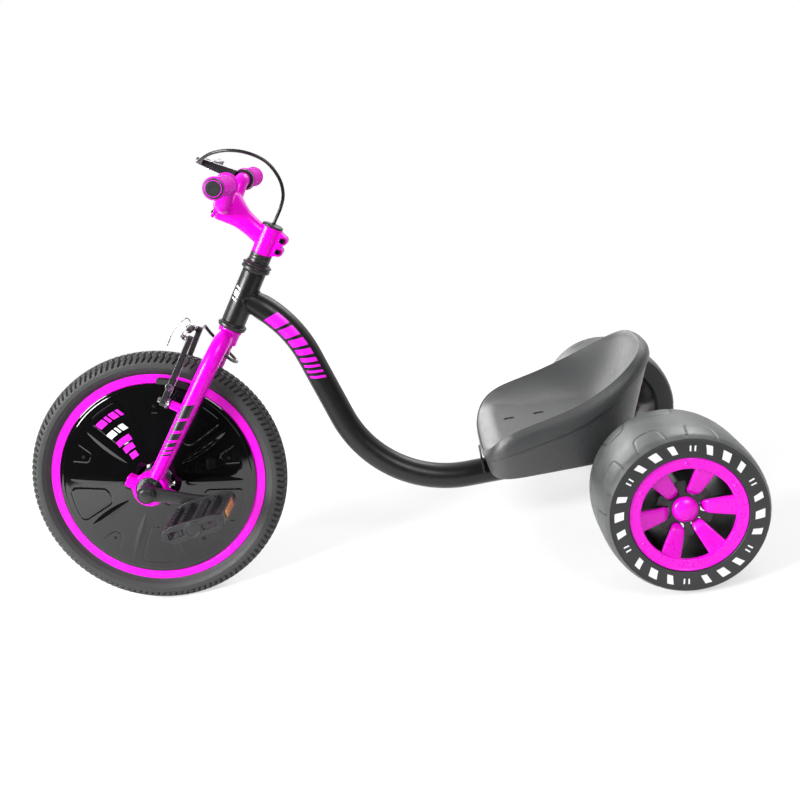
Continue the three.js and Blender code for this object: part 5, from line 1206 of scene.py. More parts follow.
def makeStarAndCap(side, sizes):
    # one arm's outline turned into place six times, with a point of the core between each two
    core, reach, half = sizes["coreRadius"], sizes["starReach"], 7.5
    arm = [[-0.56 * half, core], [-0.56 * half, core + 6], [-half, core + 10.2], [-0.9 * half, reach]]
    arm += [[-x, z] for x, z in arm[::-1]]
    outline = []
    for k in range(sizes["petals"]):
        turn = k * 2 * math.pi / sizes["petals"]
        c, s = math.cos(turn), math.sin(turn)
        outline += [[z * s + x * c, z * c - x * s] for x, z in arm]
        between = turn + math.pi / sizes["petals"]
        outline.append([core * math.sin(between), core * math.cos(between)])
    star = drawn(roundCorners(outline, 1.6, 3), sizes["coreOut"] - 3, sizes["coreOut"])
    place, body = rearWheels[side], side + "_rear_wheel"
    makePiece(side + "StarPlate", star, place, body, side + "_star_plate", *blackMetal, bevel=0.5)
    # the domed cap: a shell 2 mm thick, closed round its foot
    a = np.linspace(0, np.pi / 2, 16)
    r, h, base = sizes["domeRadius"], sizes["domeHeight"], sizes["coreOut"] + 0.3
    outer = np.stack([r * np.cos(a), base + h * np.sin(a) ** 0.92], -1)
    inside = np.stack([(r - 2) * np.cos(a), base + (h - 2) * np.sin(a)], -1)[::-1]
    skin, foot = np.concatenate([inside, outer]), [[r, base], [r - 2, base]]
    dome, node = [knobTurned(skin, 64), knobTurned(foot, 64)], side + "_hub_cap"
    makePiece(side + "HubCap", dome, place, body, node, "magenta_plastic", magentaMoulding, sharp=60)


def makeFacePrint(side, sizes):
    # white marks round the black face: slanted blocks in threes with a thin pair between
    face, marks = sizes["faceOut"] - 1, sizes["marks"]

    def onFace(turn, radius, lift):
        return np.stack([radius * np.sin(turn), face + lift + 0 * turn, radius * np.cos(turn)], -1)

    shells = []
    for k in range(sizes["markCount"]):
        middle = sizes["markStart"] + k * 2 * math.pi / sizes["markCount"]
        bars, low, high, slant = marks[k % len(marks)]
        for bar in bars:
            a, b = (middle + rad(edge) for edge in bar)
            corners = [(a, low), (b, low), (b + rad(slant), high), (a + rad(slant), high)]
            shells.append(printed(onFace, corners, 0.1, (5, 2)))
    place, body = rearWheels[side], side + "_rear_wheel"
    makePiece(side + "FacePrint", shells, place, body, None, "hard_grey_sleeve", whiteInk, sharp=60)


for side in sides:
    makeSleeve(side, rearSizes)
    makeCore(side, rearSizes)
    makeDisc(side, rearSizes)
    makeStarAndCap(side, rearSizes)
    makeFacePrint(side, rearSizes)
print("rear wheels made")

# fork: two legs in one bent run of tube, a collar for the race, brake bosses, split holders at the feet
forkSizes = {
    "length": 258,
    "rake": 14,
    "topRake": 2,
    "stations": [  # spread, height, radius
        (0, -13.4, 13), (10.8, -14.5, 13), (22.5, -19.5, 13), (32.4, -29.6, 13), (39.6, -45.1, 13),
        (45, -72.1, 13), (49.4, -139, 12), (53.8, -206.4, 11), (56, -238.5, 11),
    ],
    "footSpread": 56,
    "holderHalf": 37,
    "holderWidth": 16,
    "bearingHole": 19.8,
    "holderReach": 24.8,
    "ear": 8,
    "bossUp": 127,
    "bossSpread": 44,
    "bossRadius": 6.5,
    "bossEnd": 36,
}
axleDown = -forkSizes["length"]


def legPath(sizes):
    # the line of both legs, left and right alike, leaning ahead in proportion to the height down
    half = np.array(sizes["stations"], float)
    both = smoothPath(np.concatenate([half[::-1], half[1:] * [-1, 1, 1]]), 220)
    lean = sizes["topRake"] + (sizes["rake"] - sizes["topRake"]) * both[:, 1] / axleDown
    return np.stack([lean, both[:, 0], both[:, 1]], -1), both[:, 2]


def holderOutline(sizes, up):
    # half a ring round the bearing between two flat ears, drawn upwards or downwards
    half, ear, reach, hole = (sizes[key] for key in ("holderHalf", "ear", "holderReach", "bearingHole"))
    points = [[-half + 1.5, 0.3]]
    points += [[hole * math.cos(a), max(0.3, hole * math.sin(a))] for a in np.linspace(np.pi, 0, 40)]
    points += [[half - 1.5, 0.3], [half, 1.6], [half, ear - 2.4], [half - 0.8, ear - 0.8]]
    points += [[half - 2.6, ear], [reach + 3.4, ear], [reach + 0.6, ear + 0.5]]
    points += [[reach * math.cos(a), reach * math.sin(a)] for a in np.linspace(rad(23), rad(157), 48)]
    points += [[-reach - 0.6, ear + 0.5], [-reach - 3.4, ear], [2.6 - half, ear], [0.8 - half, ear - 0.8]]
    points += [[-half, ear - 2.4], [-half, 1.6]]
    return np.array(points) * [1, 1 if up else -1] + [sizes["rake"], axleDown]


def holder(sizes, side, up):
    low = side * sizes["footSpread"] - sizes["holderWidth"] / 2
    return drawn(holderOutline(sizes, up), low, low + sizes["holderWidth"])


def makeFork(sizes):
    path, radius = legPath(sizes)
    collar = [[12.7, -24], [16.4, -24], [16.2, -12], [16.6, -7], [17.6, -5.6], [17.6, -1.2], [16.9, -0.3]]
    collar = ringTurned(collar + [[14.4, -0.3], [13.9, 0.9], [12.7, 0.9]], 64, 0.6)
    top = stemTop - 2.2
    steerer = turned([[10.5, -30], [12.7, -30], [12.7, top], [10.5, top]], 48)
    r, end = sizes["bossRadius"], sizes["bossEnd"]
    boss = knobTurned([[0, 6], [r, 6], [r, end - 1], [r - 1, end], [0, end]], 36)
    ring = turned([[6, 11], [7.6, 11], [9.4, 12.2], [7.2, 14.6], [6, 15]], 36)
    shells = [swept(path, radius, 56, up=(1, 0, 0)), alongZ(collar), alongZ(steerer)]
    up = sizes["bossUp"] + axleDown
    for side in sides.values():
        shells += [shifted(alongX(shape), y=side * sizes["bossSpread"], z=up) for shape in (boss, ring)]
    makePiece("forkLegs", shells, steering, "steering", "fork", *magentaPaint)
    for name, side in sides.items():
        clamp = name + "_axle_clamp"
        upper, lower = holder(sizes, side, True), holder(sizes, side, False)
        makePiece(name + "Holder", upper, steering, "steering", "fork", *magentaPaint, bevel=1.1)
        makePiece(name + "AxleClamp", lower, steering, "steering", clamp, *magentaPaint, bevel=1.1)
        bolts = []
        for way in (-1, 1):
            at = sizes["rake"] + way * (sizes["holderHalf"] - 6)
            head = alongZ(socketHead(5, 5, 2.4))
            bolts.append(shifted(head, x=at, y=side * sizes["footSpread"], z=axleDown - sizes["ear"]))
        makePiece(name + "ClampBolts", bolts, steering, "steering", clamp, "magenta_paint", blackenedSteel)


def socketHead(radius, height, socket):
    # cap screw head that points down its axis; its socket's radius is the half width over a cosine
    rim, deep = socket + 0.4, 0.55 * height
    profile = [
        [0.01, 0.2], [radius - 0.5, 0.2], [radius, -0.4], [radius, 0.6 - height], [radius - 0.7, -height],
    ]
    wall = turned(profile + [[rim, -height]], 36, closed=False)
    turn = np.linspace(0, 2 * np.pi, 36, endpoint=False)
    hexagon = socket / np.cos((turn + np.pi / 6) % (np.pi / 3) - np.pi / 6)
    levels = [(rim, -height), (hexagon, 0.3 - height), (hexagon, deep - height), (0.01, deep - height)]
    rows = [np.stack([r * np.sin(turn), y + 0 * turn, r * np.cos(turn)], -1) for r, y in levels]
    return joinShells(wall, gridShell(np.array(rows), ends=False))


makeFork(forkSizes)
print("fork made")

# stem: forged and necked, split behind the steerer between two lobed ears, with a bolted faceplate
stemPlace = turnedPlace(movedPlace(steering, barMiddle[0], 0, barMiddle[1]), -stemSizes["rise"])
neckSizes = [  # behind the bar, half width, half height, squareness
    (72.5, 12, 15.4, 0.9), (62, 12.6, 15, 0.88), (48, 13, 14.6, 0.84), (31, 15, 16, 0.76),
    (15.5, 18.6, 20.5, 0.6), (5, 19.8, 24.2, 0.48), (0, 20, 25, 0.45),
]
pinchHeights = (133.2, 150.84)


def makeStem():
    # the neck is a soft rectangle that narrows from the clamp to the bar
    back, half, tall, square = smoothPath(neckSizes, 44).T
    turn = np.linspace(0, 2 * np.pi, 64, endpoint=False)
    rows = []
    for b, h, t, q in zip(back, half, tall, square):
        x, y = softBox(turn, q)
        rows.append(np.stack([-b + 0 * x, h * x, t * y], -1))
    low, high = stemBottom, stemTop
    neck = gridShell(np.array(rows))
    makePiece("stemNeck", neck, stemPlace, "steering", "stem", *magentaPaint, bevel=1.2)
    clamp = [[13, low], [15.6, low], [16.6, low + 1], [16.6, high - 1], [15.6, high], [13, high]]
    lobe = np.linspace(-np.pi / 2, -3 * np.pi / 2, 24)
    outline = [[-8, low + 1], [-21.5, pinchHeights[0] - 7.14]]
    for i, z in enumerate(pinchHeights):
        if i:
            outline.append([-24.4, sum(pinchHeights) / 2])
        outline += [[-21.5 + 7.14 * math.cos(a), z + 7.14 * math.sin(a)] for a in lobe]
    outline += [[-17.2, high - 2.6], [-8, high - 1]]
    ears = [drawn(outline, 1.5, 11), drawn(outline, -11, -1.5)]
    boltRing = ringTurned(
        [[4.2, 10], [6.3, 10], [6.3, 11.7], [5.6, 12.4], [4.8, 12.4], [4.2, 11.8]], 40, 0.3,
    )
    ears += [shifted(boltRing, x=-21.5, z=z) for z in pinchHeights]
    makePiece("stemClamp", alongZ(turned(clamp, 72)), steering, "steering", "stem", *magentaPaint)
    makePiece("stemEars", ears, steering, "steering", "stem", *magentaPaint, bevel=1.4)
    tip = knobTurned([[0, -11.4], [2.7, -11.4], [3, -11], [3, -9]], 24, 0.2)
    for i, z in enumerate(pinchHeights):
        head = shifted(socketHead(3.9, 4.4, 2.2), turnZ=math.pi, x=-21.5, y=11.3, z=z)
        node = ("pinch_bolt_lower", "pinch_bolt_upper")[i]
        bolt = [head, shifted(tip, x=-21.5, z=z)]
        makePiece(f"pinchBolt{i + 1}", bolt, steering, "steering", node, "black_steel", blackenedSteel)
    arc = np.linspace(rad(-62), rad(62), 40)
    plate = [[1.2, -25], [3.6, -25], [6, -24.2], [6.2, -23], [6.2, -17.4], [6.8, -15.4]]
    plate = plate + [[16 * math.cos(a), 16 * math.sin(a)] for a in arc] + [[x, -z] for x, z in plate[::-1]]
    plate = drawn(plate, -20, 20)
    makePiece("stemFaceplate", plate, stemPlace, "steering", "stem_faceplate", *magentaPaint, bevel=1.5)
    for name, end in (("lower", -1), ("upper", 1)):
        head = shifted(alongX(shifted(socketHead(3.9, 3.9, 1.8), turnZ=math.pi)), x=6.5, z=end * 20.5)
        node = "faceplate_bolt_" + name
        makePiece(name + "PlateBolt", head, stemPlace, "steering", node, "black_steel", blackenedSteel)


makeStem()


# prints on the tubes: slanted blocks that shorten along the run, in the ink of what they stand out from
printSizes = {  # first block, blocks along the run, gap, slant, half the width round the tube, its middle
    "tube": (44, [22, 17, 13, 10, 7, 4, 4, 4], 5.2, 9, rad(36), rad(-2)),
    "head": (42, [3, 9, 3], 3, 2, rad(15), rad(38)),
    "leg": (112, [22, 16, 11, 7, 3, 3], 4.4, 8, rad(38), rad(6)),
}


def onMainTube(side):
    # from the run along the tube and the angle up from its side
    run = runLength(mainPath)
    along = np.gradient(mainPath, axis=0)
    along /= np.linalg.norm(along, axis=1)[:, None]

    def place(reach, angle, lift):
        at = np.stack([np.interp(reach, run, mainPath[:, i]) for i in range(3)], -1)
        way = np.stack([np.interp(reach, run, along[:, i]) for i in range(3)], -1)
        above = np.stack([way[..., 2], 0 * reach, -way[..., 0]], -1)
        outwards = np.cos(angle)[..., None] * np.array([0, side, 0]) + np.sin(angle)[..., None] * above
        return at + (tubeSizes["radius"] + lift) * outwards

    return place


def onHeadTube(side):
    def place(up, angle, lift):
        r = headSizes["tubeRadius"] + lift
        return np.stack([r * np.sin(angle), side * r * np.cos(angle), up], -1)

    return place


def onForkLeg(side):
    # from the height down and the angle ahead from the leg's side
    path, radius = legPath(forkSizes)
    half = path[:, 1] * side > 0
    path, radius = path[half], radius[half]
    order = np.argsort(-path[:, 2])
    path, radius = path[order], radius[order]

    def place(down, angle, lift):
        x, y, r = (np.interp(down, -path[:, 2], part) for part in (path[:, 0], path[:, 1], radius))
        return np.stack([x + (r + lift) * np.sin(angle), y + side * (r + lift) * np.cos(angle), -down], -1)

    return place


def makePrints(sizes):
    for name, side in sides.items():
        for kind, onSurface, place, body, ink, slot in (
            ("Tube", onMainTube(side), chassis, "frame", magentaInk, "black_paint"),
            ("Head", onHeadTube(side), steering, "frame", whiteInk, "black_paint"),
            ("Leg", onForkLeg(side), steering, "steering", blackInk, "magenta_paint"),
        ):
            at, blocks, gap, slant, half, middle = sizes[kind.lower()]
            low, high, shells = middle - half, middle + half, []
            for wide in blocks:
                corners = [(at, low), (at + wide, low), (at + wide + slant, high), (at + slant, high)]
                shells.append(printed(onSurface, corners, 0.1, (8, 14)))
                at += wide + gap
            makePiece(name + kind + "Print", shells, place, body, None, slot, ink, sharp=60)


makePrints(printSizes)
print("stem and tube prints made")

# handlebar: one tube, straight in the clamp, two bends a side and straight again under the grips
def makeBars(sizes):
    # flat, a bend up, a straight rise, the same bend back, flat again: steps of equal run and growing slope
    step, bendRadius, angle = rad(3), sizes["bendRadius"], sizes["bendAngle"]
    count = int(round(angle / step))
    bend, arcRun = [step * (k + 0.5) for k in range(count)], bendRadius * step
    between = (sizes["rise"] - 2 * bendRadius * (1 - math.cos(angle))) / math.sin(angle)
    slopes = np.array([0.0] * 8 + bend + [angle] * 3 + bend[::-1])
    runs = [sizes["straightHalf"] / 8] * 8 + [arcRun] * count + [between / 3] * 3 + [arcRun] * count
    y, z = np.cumsum(np.cos(slopes) * runs), np.cumsum(np.sin(slopes) * runs)
    end = np.linspace(y[-1], sizes["half"], 14)[1:]
    y, z = np.concatenate([y, end]), np.concatenate([z, 0 * end + z[-1]])
    thick, thin = sizes["clampRadius"], sizes["radius"]
    radius = np.interp(runLength(np.stack([y, z], -1)), sizes["taper"], [thick, thin])
    half = np.stack([0 * y, y, z], -1)
    path = np.concatenate([(half * [1, -1, 1])[::-1], [[0, 0, 0]], half])
    bar = swept(path, np.concatenate([radius[::-1], [thick], radius]), 48, up=(1, 0, 0))
    place = movedPlace(steering, barMiddle[0], 0, barMiddle[1])
    makePiece("handlebar", bar, place, "steering", "handlebar", *magentaPaint)


gripSizes = {
    "radius": 14.3,
    "flange": 17,
    "flangeWidth": 5,
    "start": 72.85,
    "rings": 15,
    "capRadius": 13.3,
    "capFace": 160.3,
    "capThick": 3.6,
}


def makeGrips(sizes):
    # moulded rubber: a flange at each end, raised rings between, a pushed-in black cap with a magenta ring
    r, f, w, start = (sizes[key] for key in ("radius", "flange", "flangeWidth", "start"))
    end = barSizes["half"]
    y = np.linspace(start + w + 0.6, end - w - 0.6, 190)
    wave = (y - y[0]) / (y[-1] - y[0]) * sizes["rings"]
    ribs = r - 0.35 + 0.35 * np.clip(2.4 * np.cos(2 * np.pi * wave) + 1.2, -1, 1)
    body = np.stack([np.minimum(ribs, r), y], -1)
    head = [
        [11.5, start], [0.9 * f, start], [f - 0.5, start + 0.7], [f, start + 2.2], [f - 0.5, start + 3.8],
    ]
    tail = [
        [r, end - w], [r + 1.1, end - w + 1.4], [r + 1.3, end - 2.4], [r + 0.8, end - 0.7], [r - 0.4, end],
    ]
    grip = turned(np.concatenate([head, [[r, start + w]], body, tail, [[11.5, end]]]), 72)
    c, face, top = sizes["capRadius"], sizes["capFace"], sizes["capFace"] + sizes["capThick"]
    cap = [[0, face - 11.7], [8, face - 11.7], [8.2, face - 11], [8.2, face], [c, face], [c, face + 1.4]]
    cap += [[c - 0.8, face + 2.7], [c - 2.4, top - 0.3], [c - 4.4, top], [4, top - 0.4], [0, top - 0.4]]
    cap = turned(cap, 56, closed=False)
    ring = turned([[c - 3.1, top - 0.25], [c - 2.5, top - 0.35], [c - 2.2, top - 0.05], [c - 2.9, top]], 56)
    place = movedPlace(steering, barMiddle[0], 0, barAxis)
    for name, side in sides.items():
        for part, shell, node, slot, look in (
            ("Grip", grip, name + "_grip", "magenta_rubber", gripRubber),
            ("BarCap", cap, name + "_bar_cap", "black_plastic", blackNylon),
            ("CapRing", ring, None, "black_plastic", magentaInk),
        ):
            makePiece(name + part, facing(shell, side), place, "steering", node, slot, look)


makeBars(barSizes)
makeGrips(gripSizes)
print("stem, bar and grips made")

# brake lever on the right: a perch clamped round the bar, its cable adjuster, and the blade on its pin
leverSizes = {
    "perchRadius": 15.6,
    "perchStart": 58.85,
    "perchWidth": 12,
    "perchTall": 13,
    "pivotAhead": 54,
    "pinRadius": 2.4,
    "adjusterRadius": 4.4,
    "adjusterEnd": -51.85,
    "thickness": 5,
    "blade": [  # ahead of the pin and to the side
        (-4.5, 2), (4, 3.4), (14, 2), (17, -6), (13, -22), (8.6, -34), (6, -46), (4.6, -66), (5, -84),
        (8, -92), (5.6, -95), (3, -94), (-3, -88), (-3.6, -66), (-3, -46), (-1.6, -34), (1, -24), (-6, -8),
    ],
}


def makeLever(sizes):
    # perch ring, adjuster and pin are turned; the arm and the blade are plan outlines cut from plate
    place = movedPlace(steering, barMiddle[0], 0, barAxis)
    start, end = sizes["perchStart"], sizes["perchStart"] + sizes["perchWidth"]
    pivot, across, half = sizes["pivotAhead"], -(start + end) / 2, sizes["perchTall"] / 2
    r, tip = sizes["adjusterRadius"], sizes["adjusterEnd"]
    nose = cableSizes["adjusterAhead"] + r + 2
    tall = [
        [8, -half], [pivot, 1 - half], [nose, 2 - half], [nose, half - 2], [pivot, half - 1], [8, half + 3],
    ]
    arm = drawn(roundCorners(tall, 3), -end, -start)
    arm = makePiece("leverPerch", arm, place, "steering", "lever_perch", *blackMetal, bevel=1.0)
    slot = sizes["thickness"] / 2 + 0.3
    carve(arm, [boxed((pivot - 11, -end - 3, -slot), (pivot + 17.9, across + 4, slot))], place)
    p = sizes["perchRadius"]
    clamp = [
        [11.4, -end], [p - 0.8, -end], [p, -end + 0.8], [p, -start - 0.8], [p - 0.8, -start], [11.4, -start],
    ]
    makePiece("perchRing", turned(clamp, 64), place, "steering", "lever_perch", *blackMetal)
    barrel = [[2.9, across + 5], [r, across + 5], [r, -start]]
    barrel += [[r - 0.5 * (k % 2), -start + 1 + k * 0.8] for k in range(8)]
    barrel += [[r, tip - 0.6], [r - 0.7, tip], [2.9, tip]]
    barrel = shifted(turned(barrel, 40), x=cableSizes["adjusterAhead"])
    makePiece("cableAdjuster", barrel, place, "steering", "lever_perch", "black_alloy", brightSteel)
    r = sizes["pinRadius"]
    pin = [
        [0, -half - 0.5], [r - 0.4, -half - 0.5], [r, -half], [r, half], [r - 0.4, half + 0.5],
        [0, half + 0.5],
    ]
    pin = shifted(alongZ(knobTurned(pin, 28)), x=pivot, y=across)
    makePiece("leverPin", pin, place, "steering", "lever_perch", "black_alloy", brightSteel)
    thick = sizes["thickness"]
    outline = smoothPath(sizes["blade"], 120, closed=True) + [pivot, across]
    root = drawn(outline, -thick / 2, thick / 2, "xy")
    makePiece("brakeLever", root, place, "brake_lever", "brake_lever", *blackMetal, bevel=1.2)
    grip = drawn(outline[outline[:, 1] < across - 18], -thick, thick, "xy")
    makePiece("leverBlade", grip, place, "brake_lever", "brake_lever", *blackMetal, bevel=2.6)


makeLever(leverSizes)
print("lever made")

# linear-pull brake: arms on the fork's bosses, pads on studs, a noodle with its boot and the inner wire
brakeSizes = {
    "hubRadius": 7.6,
    "pivotUp": -131,
    "spread": 44,
    "front": 50,
    "thickness": 8,
    "stud": (46, -106.54),
    "tipSpread": 33,
    "anchorHeight": -33,
    "padRadius": 154.8,
    "padHeight": 7.6,
    "padHalfAngle": rad(8.5),
    "padFrom": 16.2,
    "padTo": 27.2,
    "padTurn": rad(11.93),
    "arm": [  # to the side and up
        (39.5, -137), (49, -137.4), (50.4, -132), (48.5, -98.5), (43, -78.5), (40.6, -55), (38, -31),
        (37, -27), (29, -27), (28, -33), (32.6, -56), (35, -76.5), (38.5, -98.5), (38.6, -130),
    ],
    "springLeg": [(41.2, 35.2, 14), (41, 35.8, 38), (41, 33.6, 54), (41.6, 33, 58)],  # up from the pivot
    "wire": [  # places from the noodle's mouth to the crimped end
        (57.5, -11, -33), (57.5, 12, -33), (57.5, 33, -33), (58.5, 37, -21), (54.5, 36, -9), (60.5, 35, -4),
        (67.5, 34, -13), (72.5, 34, -29), (73.5, 34, -45),
    ],
}


def makeBrakeArm(name, side, sizes):
    # a plate outline on a turned hub; the spring is a coil of two and a half turns with a leg up the arm
    front, deep, up = sizes["front"], sizes["thickness"], sizes["pivotUp"]
    body, spread = name + "_brake_arm", sizes["spread"]
    plate = drawn(roundCorners(np.array(sizes["arm"]) * [side, 1], 3.4), front - deep, front, "yz")
    makePiece(name + "BrakeArm", plate, steering, body, body, *blackMetal, bevel=1.4)
    r = sizes["hubRadius"]
    hub = [[4.2, 36.3], [r - 0.6, 36.3], [r, 37], [r, front - 0.6], [r - 0.6, front], [4.2, front]]
    hub = shifted(alongX(ringTurned(hub, 44, 0.3)), y=side * spread, z=up)
    makePiece(name + "BrakeArmHub", hub, steering, body, body, *blackMetal)
    bolt = alongX(shifted(socketHead(4.6, 4.4, 2.1), turnZ=math.pi))
    bolt = shifted(bolt, x=front + 0.2, y=side * spread, z=up)
    anchor = knobTurned([[0, front - 3], [4, front - 3], [4, front + 1.9], [0, front + 1.9]], 28, 0.3)
    anchor = shifted(alongX(anchor), y=side * sizes["tipSpread"], z=sizes["anchorHeight"])
    turn = np.linspace(0, 5 * np.pi, 110)
    coil = [np.linspace(37.2, 41.4, 110), side * (spread + 8.5 * np.cos(turn)), up + 8.5 * np.sin(turn)]
    coil = np.stack(coil, -1)
    leg = smoothPath([coil[-1]] + [(x, side * y, up + z) for x, y, z in sizes["springLeg"]], 24)
    spring = swept(np.concatenate([coil, leg[1:]]), 0.8, 8, up=(1, 0, 0))
    makePiece(
        name + "BrakeSpring", [bolt, anchor, spring], steering, body, body, "black_alloy", brightSteel,
    )


def makePad(name, side, sizes):
    # the rubber shoe follows the rim's own arc; stud, dished washers and nut hold it in the arm
    half, tall, low, high = sizes["padHalfAngle"], sizes["padHeight"] / 2, sizes["padFrom"], sizes["padTo"]
    arc, end, rim = np.linspace(-half, half, 40), np.linspace(0, np.pi, 9)[1:-1], sizes["padRadius"]
    outline = []
    for way, line in ((1, arc), (-1, arc[::-1])):
        outline += [(rim + way * tall, a) for a in line]
        for e in end:
            past = way * (half + 0.5 * tall * math.sin(e) / rim)
            outline.append((rim + way * tall * math.cos(e), past))
    shoe = drawn([[r * math.sin(a), r * math.cos(a)] for r, a in outline], low, high)
    cut = boxed((-0.6, low - 1, rim - tall - 1), (0.6, low + 2.4, rim + tall + 1))
    cuts = [shifted(cut, turnY=k * half) for k in (-0.55, -0.1, 0.35, 0.75)]
    body, node = name + "_brake_arm", name + "_brake_pad"
    shoe, *cuts = (
        shifted(shifted(mirrored(shell, y=side), turnY=sizes["padTurn"]), x=forkSizes["rake"], z=axleDown)
        for shell in [shoe] + cuts
    )
    piece = makePiece(name + "BrakePad", shoe, steering, body, node, "brake_rubber", brakeRubber, bevel=0.6)
    carve(piece, cuts, steering)
    inner, face = 38.5, 48.6
    stud = [
        [0, high - 4], [3, high - 4], [3, high - 1], [5, high - 1], [5.4, high - 0.4], [5.4, high + 2.6],
    ]
    stud += [[4.4, high + 4], [5.6, high + 5.4], [5.6, inner - 2.6], [5.2, inner - 1.2], [3, inner - 1.2]]
    stud = knobTurned(stud + [[3, face + 0.7], [0, face + 0.7]], 36, 0.3)
    washer = ringTurned([[3, 49], [5.6, 49], [5.6, 49.8], [4.8, 50.6], [3, 50.6]], 36, 0.2)
    nut = [
        [0, 50.6], [4.2, 50.6], [5, 51.1], [5, 53.1], [4.4, 53.6], [3, 53.6], [3, 55.2], [2.6, 55.6],
        [0, 55.6],
    ]
    at = sizes["stud"]
    parts = [shifted(facing(part, side), x=at[0], z=at[1]) for part in (stud, washer, knobTurned(nut, 6))]
    makePiece(name + "PadHardware", parts, steering, body, node, "brake_rubber", brightSteel, sharp=25)


def makeNoodleAndWire(sizes):
    # a bent pipe, a boot whose folds follow a clipped sine, and the wire through both to its clamp bolt
    high, tip, mouth = sizes["anchorHeight"], sizes["tipSpread"], 57.5
    bend = [(46, -64, high), (47, -54, high), (mouth, -44, high), (mouth, -33, high), (mouth, -27, high)]
    pipe = swept(smoothPath(bend, 50), 2.6, 22, up=(0, 0, 1))
    lip = ringTurned([[0.8, -64.2], [3.3, -64.2], [3.3, -61.6], [0.8, -61.6]], 28, 0.3)
    saddle = shifted(alongX(knobTurned([[0, 52.3], [3.4, 52.3], [3.4, 57], [0, 57]], 24)), y=-tip, z=high)
    noodle = [pipe, shifted(lip, x=46, z=high), saddle]
    makePiece("brakeNoodle", noodle, steering, "right_brake_arm", "brake_noodle", "bare_steel", brightSteel)
    y = np.linspace(-30, -12.5, 80)
    folds = 4.3 + 0.55 * np.clip(2.2 * np.sin((y + 30) / 17.5 * 2 * np.pi * 6), -1, 1)
    boot = [[[0, -30]], np.stack([folds, y], -1), [[4.6, -11], [3.8, -8.6], [3.4, -8.1], [0, -8.1]]]
    boot = shifted(turned(np.concatenate(boot), 28, closed=False), x=mouth, z=high)
    makePiece("noodleBoot", boot, steering, "right_brake_arm", "brake_noodle", "bare_steel", blackNylon)
    wire = swept(smoothPath(sizes["wire"], 110), 0.9, 10, up=(1, 0, 0))
    crimp = knobTurned([[0, -9], [1.4, -9], [1.7, -8.4], [1.7, 2.4], [1.4, 3], [0, 3]], 18, 0.2)
    end = sizes["wire"][-1]
    parts = [wire, shifted(alongZ(crimp), x=end[0], y=end[1], z=end[2])]
    clampNut = [[0, 52.3], [3.6, 52.3], [4, 52.8], [4, 56.4], [3.6, 56.9], [0, 56.9]]
    washer = [[0, 56.9], [3.8, 56.9], [3.8, 57.8], [2.4, 58], [2.4, 59.9], [0, 59.9]]
    for profile, around in ((clampNut, 6), (washer, 24)):
        parts.append(shifted(alongX(knobTurned(profile, around)), y=tip, z=high))
    makePiece(
        "brakeWire", parts, steering, "left_brake_arm", "brake_wire", "bare_steel", brightSteel, sharp=25,
    )


for name, side in sides.items():
    makeBrakeArm(name, side, brakeSizes)
    makePad(name, side, brakeSizes)
makeNoodleAndWire(brakeSizes)
print("brake made")

# front wheel: a laced hub in a flanged rim, a moulded tyre and a dished cover on each side
wheelSizes = {
    "tyreRadius": 194,
    "tyreHalf": 23,
    "rimRadius": 162.4,
    "bandInner": 149.4,
    "well": 146,
    "rimHalf": 14,
    "blocks": 126,
    "treadRows": (0, 8, 15.6, 27.5),
    "gapHalf": 1.5,
    "treadDepth": 2.3,
    "tyreSide": [  # radius and half width, from the bead up to the crown
        (153.3, 11.4), (159, 11.8), (163.6, 12.9), (167, 17.2), (171.8, 21.4), (176.8, 23), (181.6, 22.3),
        (185.6, 20.6), (189.2, 17.9), (191.8, 13.6), (193.3, 8), (194, 2.6), (194, 0),
    ],
    "tyreInside": [(153.3, 8.8), (160, 9.4), (170, 15.2), (178, 15), (184, 9)],
    "ridges": (168.5, 174),
    "sectors": 10,
    "firstCrease": rad(6.4),
    "screwRadius": 115,
    "coverHole": 29,
    "coverSheet": 1.6,
    "spokes": 6,
}


def treadGrooves(sizes, turn, across):
    # rows of blocks measured outwards from the crown: grooves between the rows, and slanted ones between the
    # blocks of a row, each row shifted half a block from the last; 0 on a block and 1 in a groove
    rows = sizes["treadRows"]
    pitch = 2 * np.pi * sizes["tyreRadius"] / sizes["blocks"]
    groove = 0 * (turn + across)
    for k, (low, high) in enumerate(zip(rows[:-1], rows[1:])):
        within = (across >= low) & (across < high)
        slant = (across - low) * (0.45 if k % 2 else -0.45)
        place = turn / (2 * np.pi) * sizes["blocks"] + slant / pitch + 0.5 * k
        toGap = np.abs(place - np.round(place)) * pitch
        groove = np.where(within, np.clip((sizes["gapHalf"] - toGap) / 0.5 + 0.5, 0, 1), groove)
    for at in rows[1:-1]:
        groove = np.maximum(groove, np.clip((0.7 - np.abs(across - at)) / 0.5 + 0.5, 0, 1))
    return groove * np.clip((rows[-1] - across) / 1.2, 0, 1)


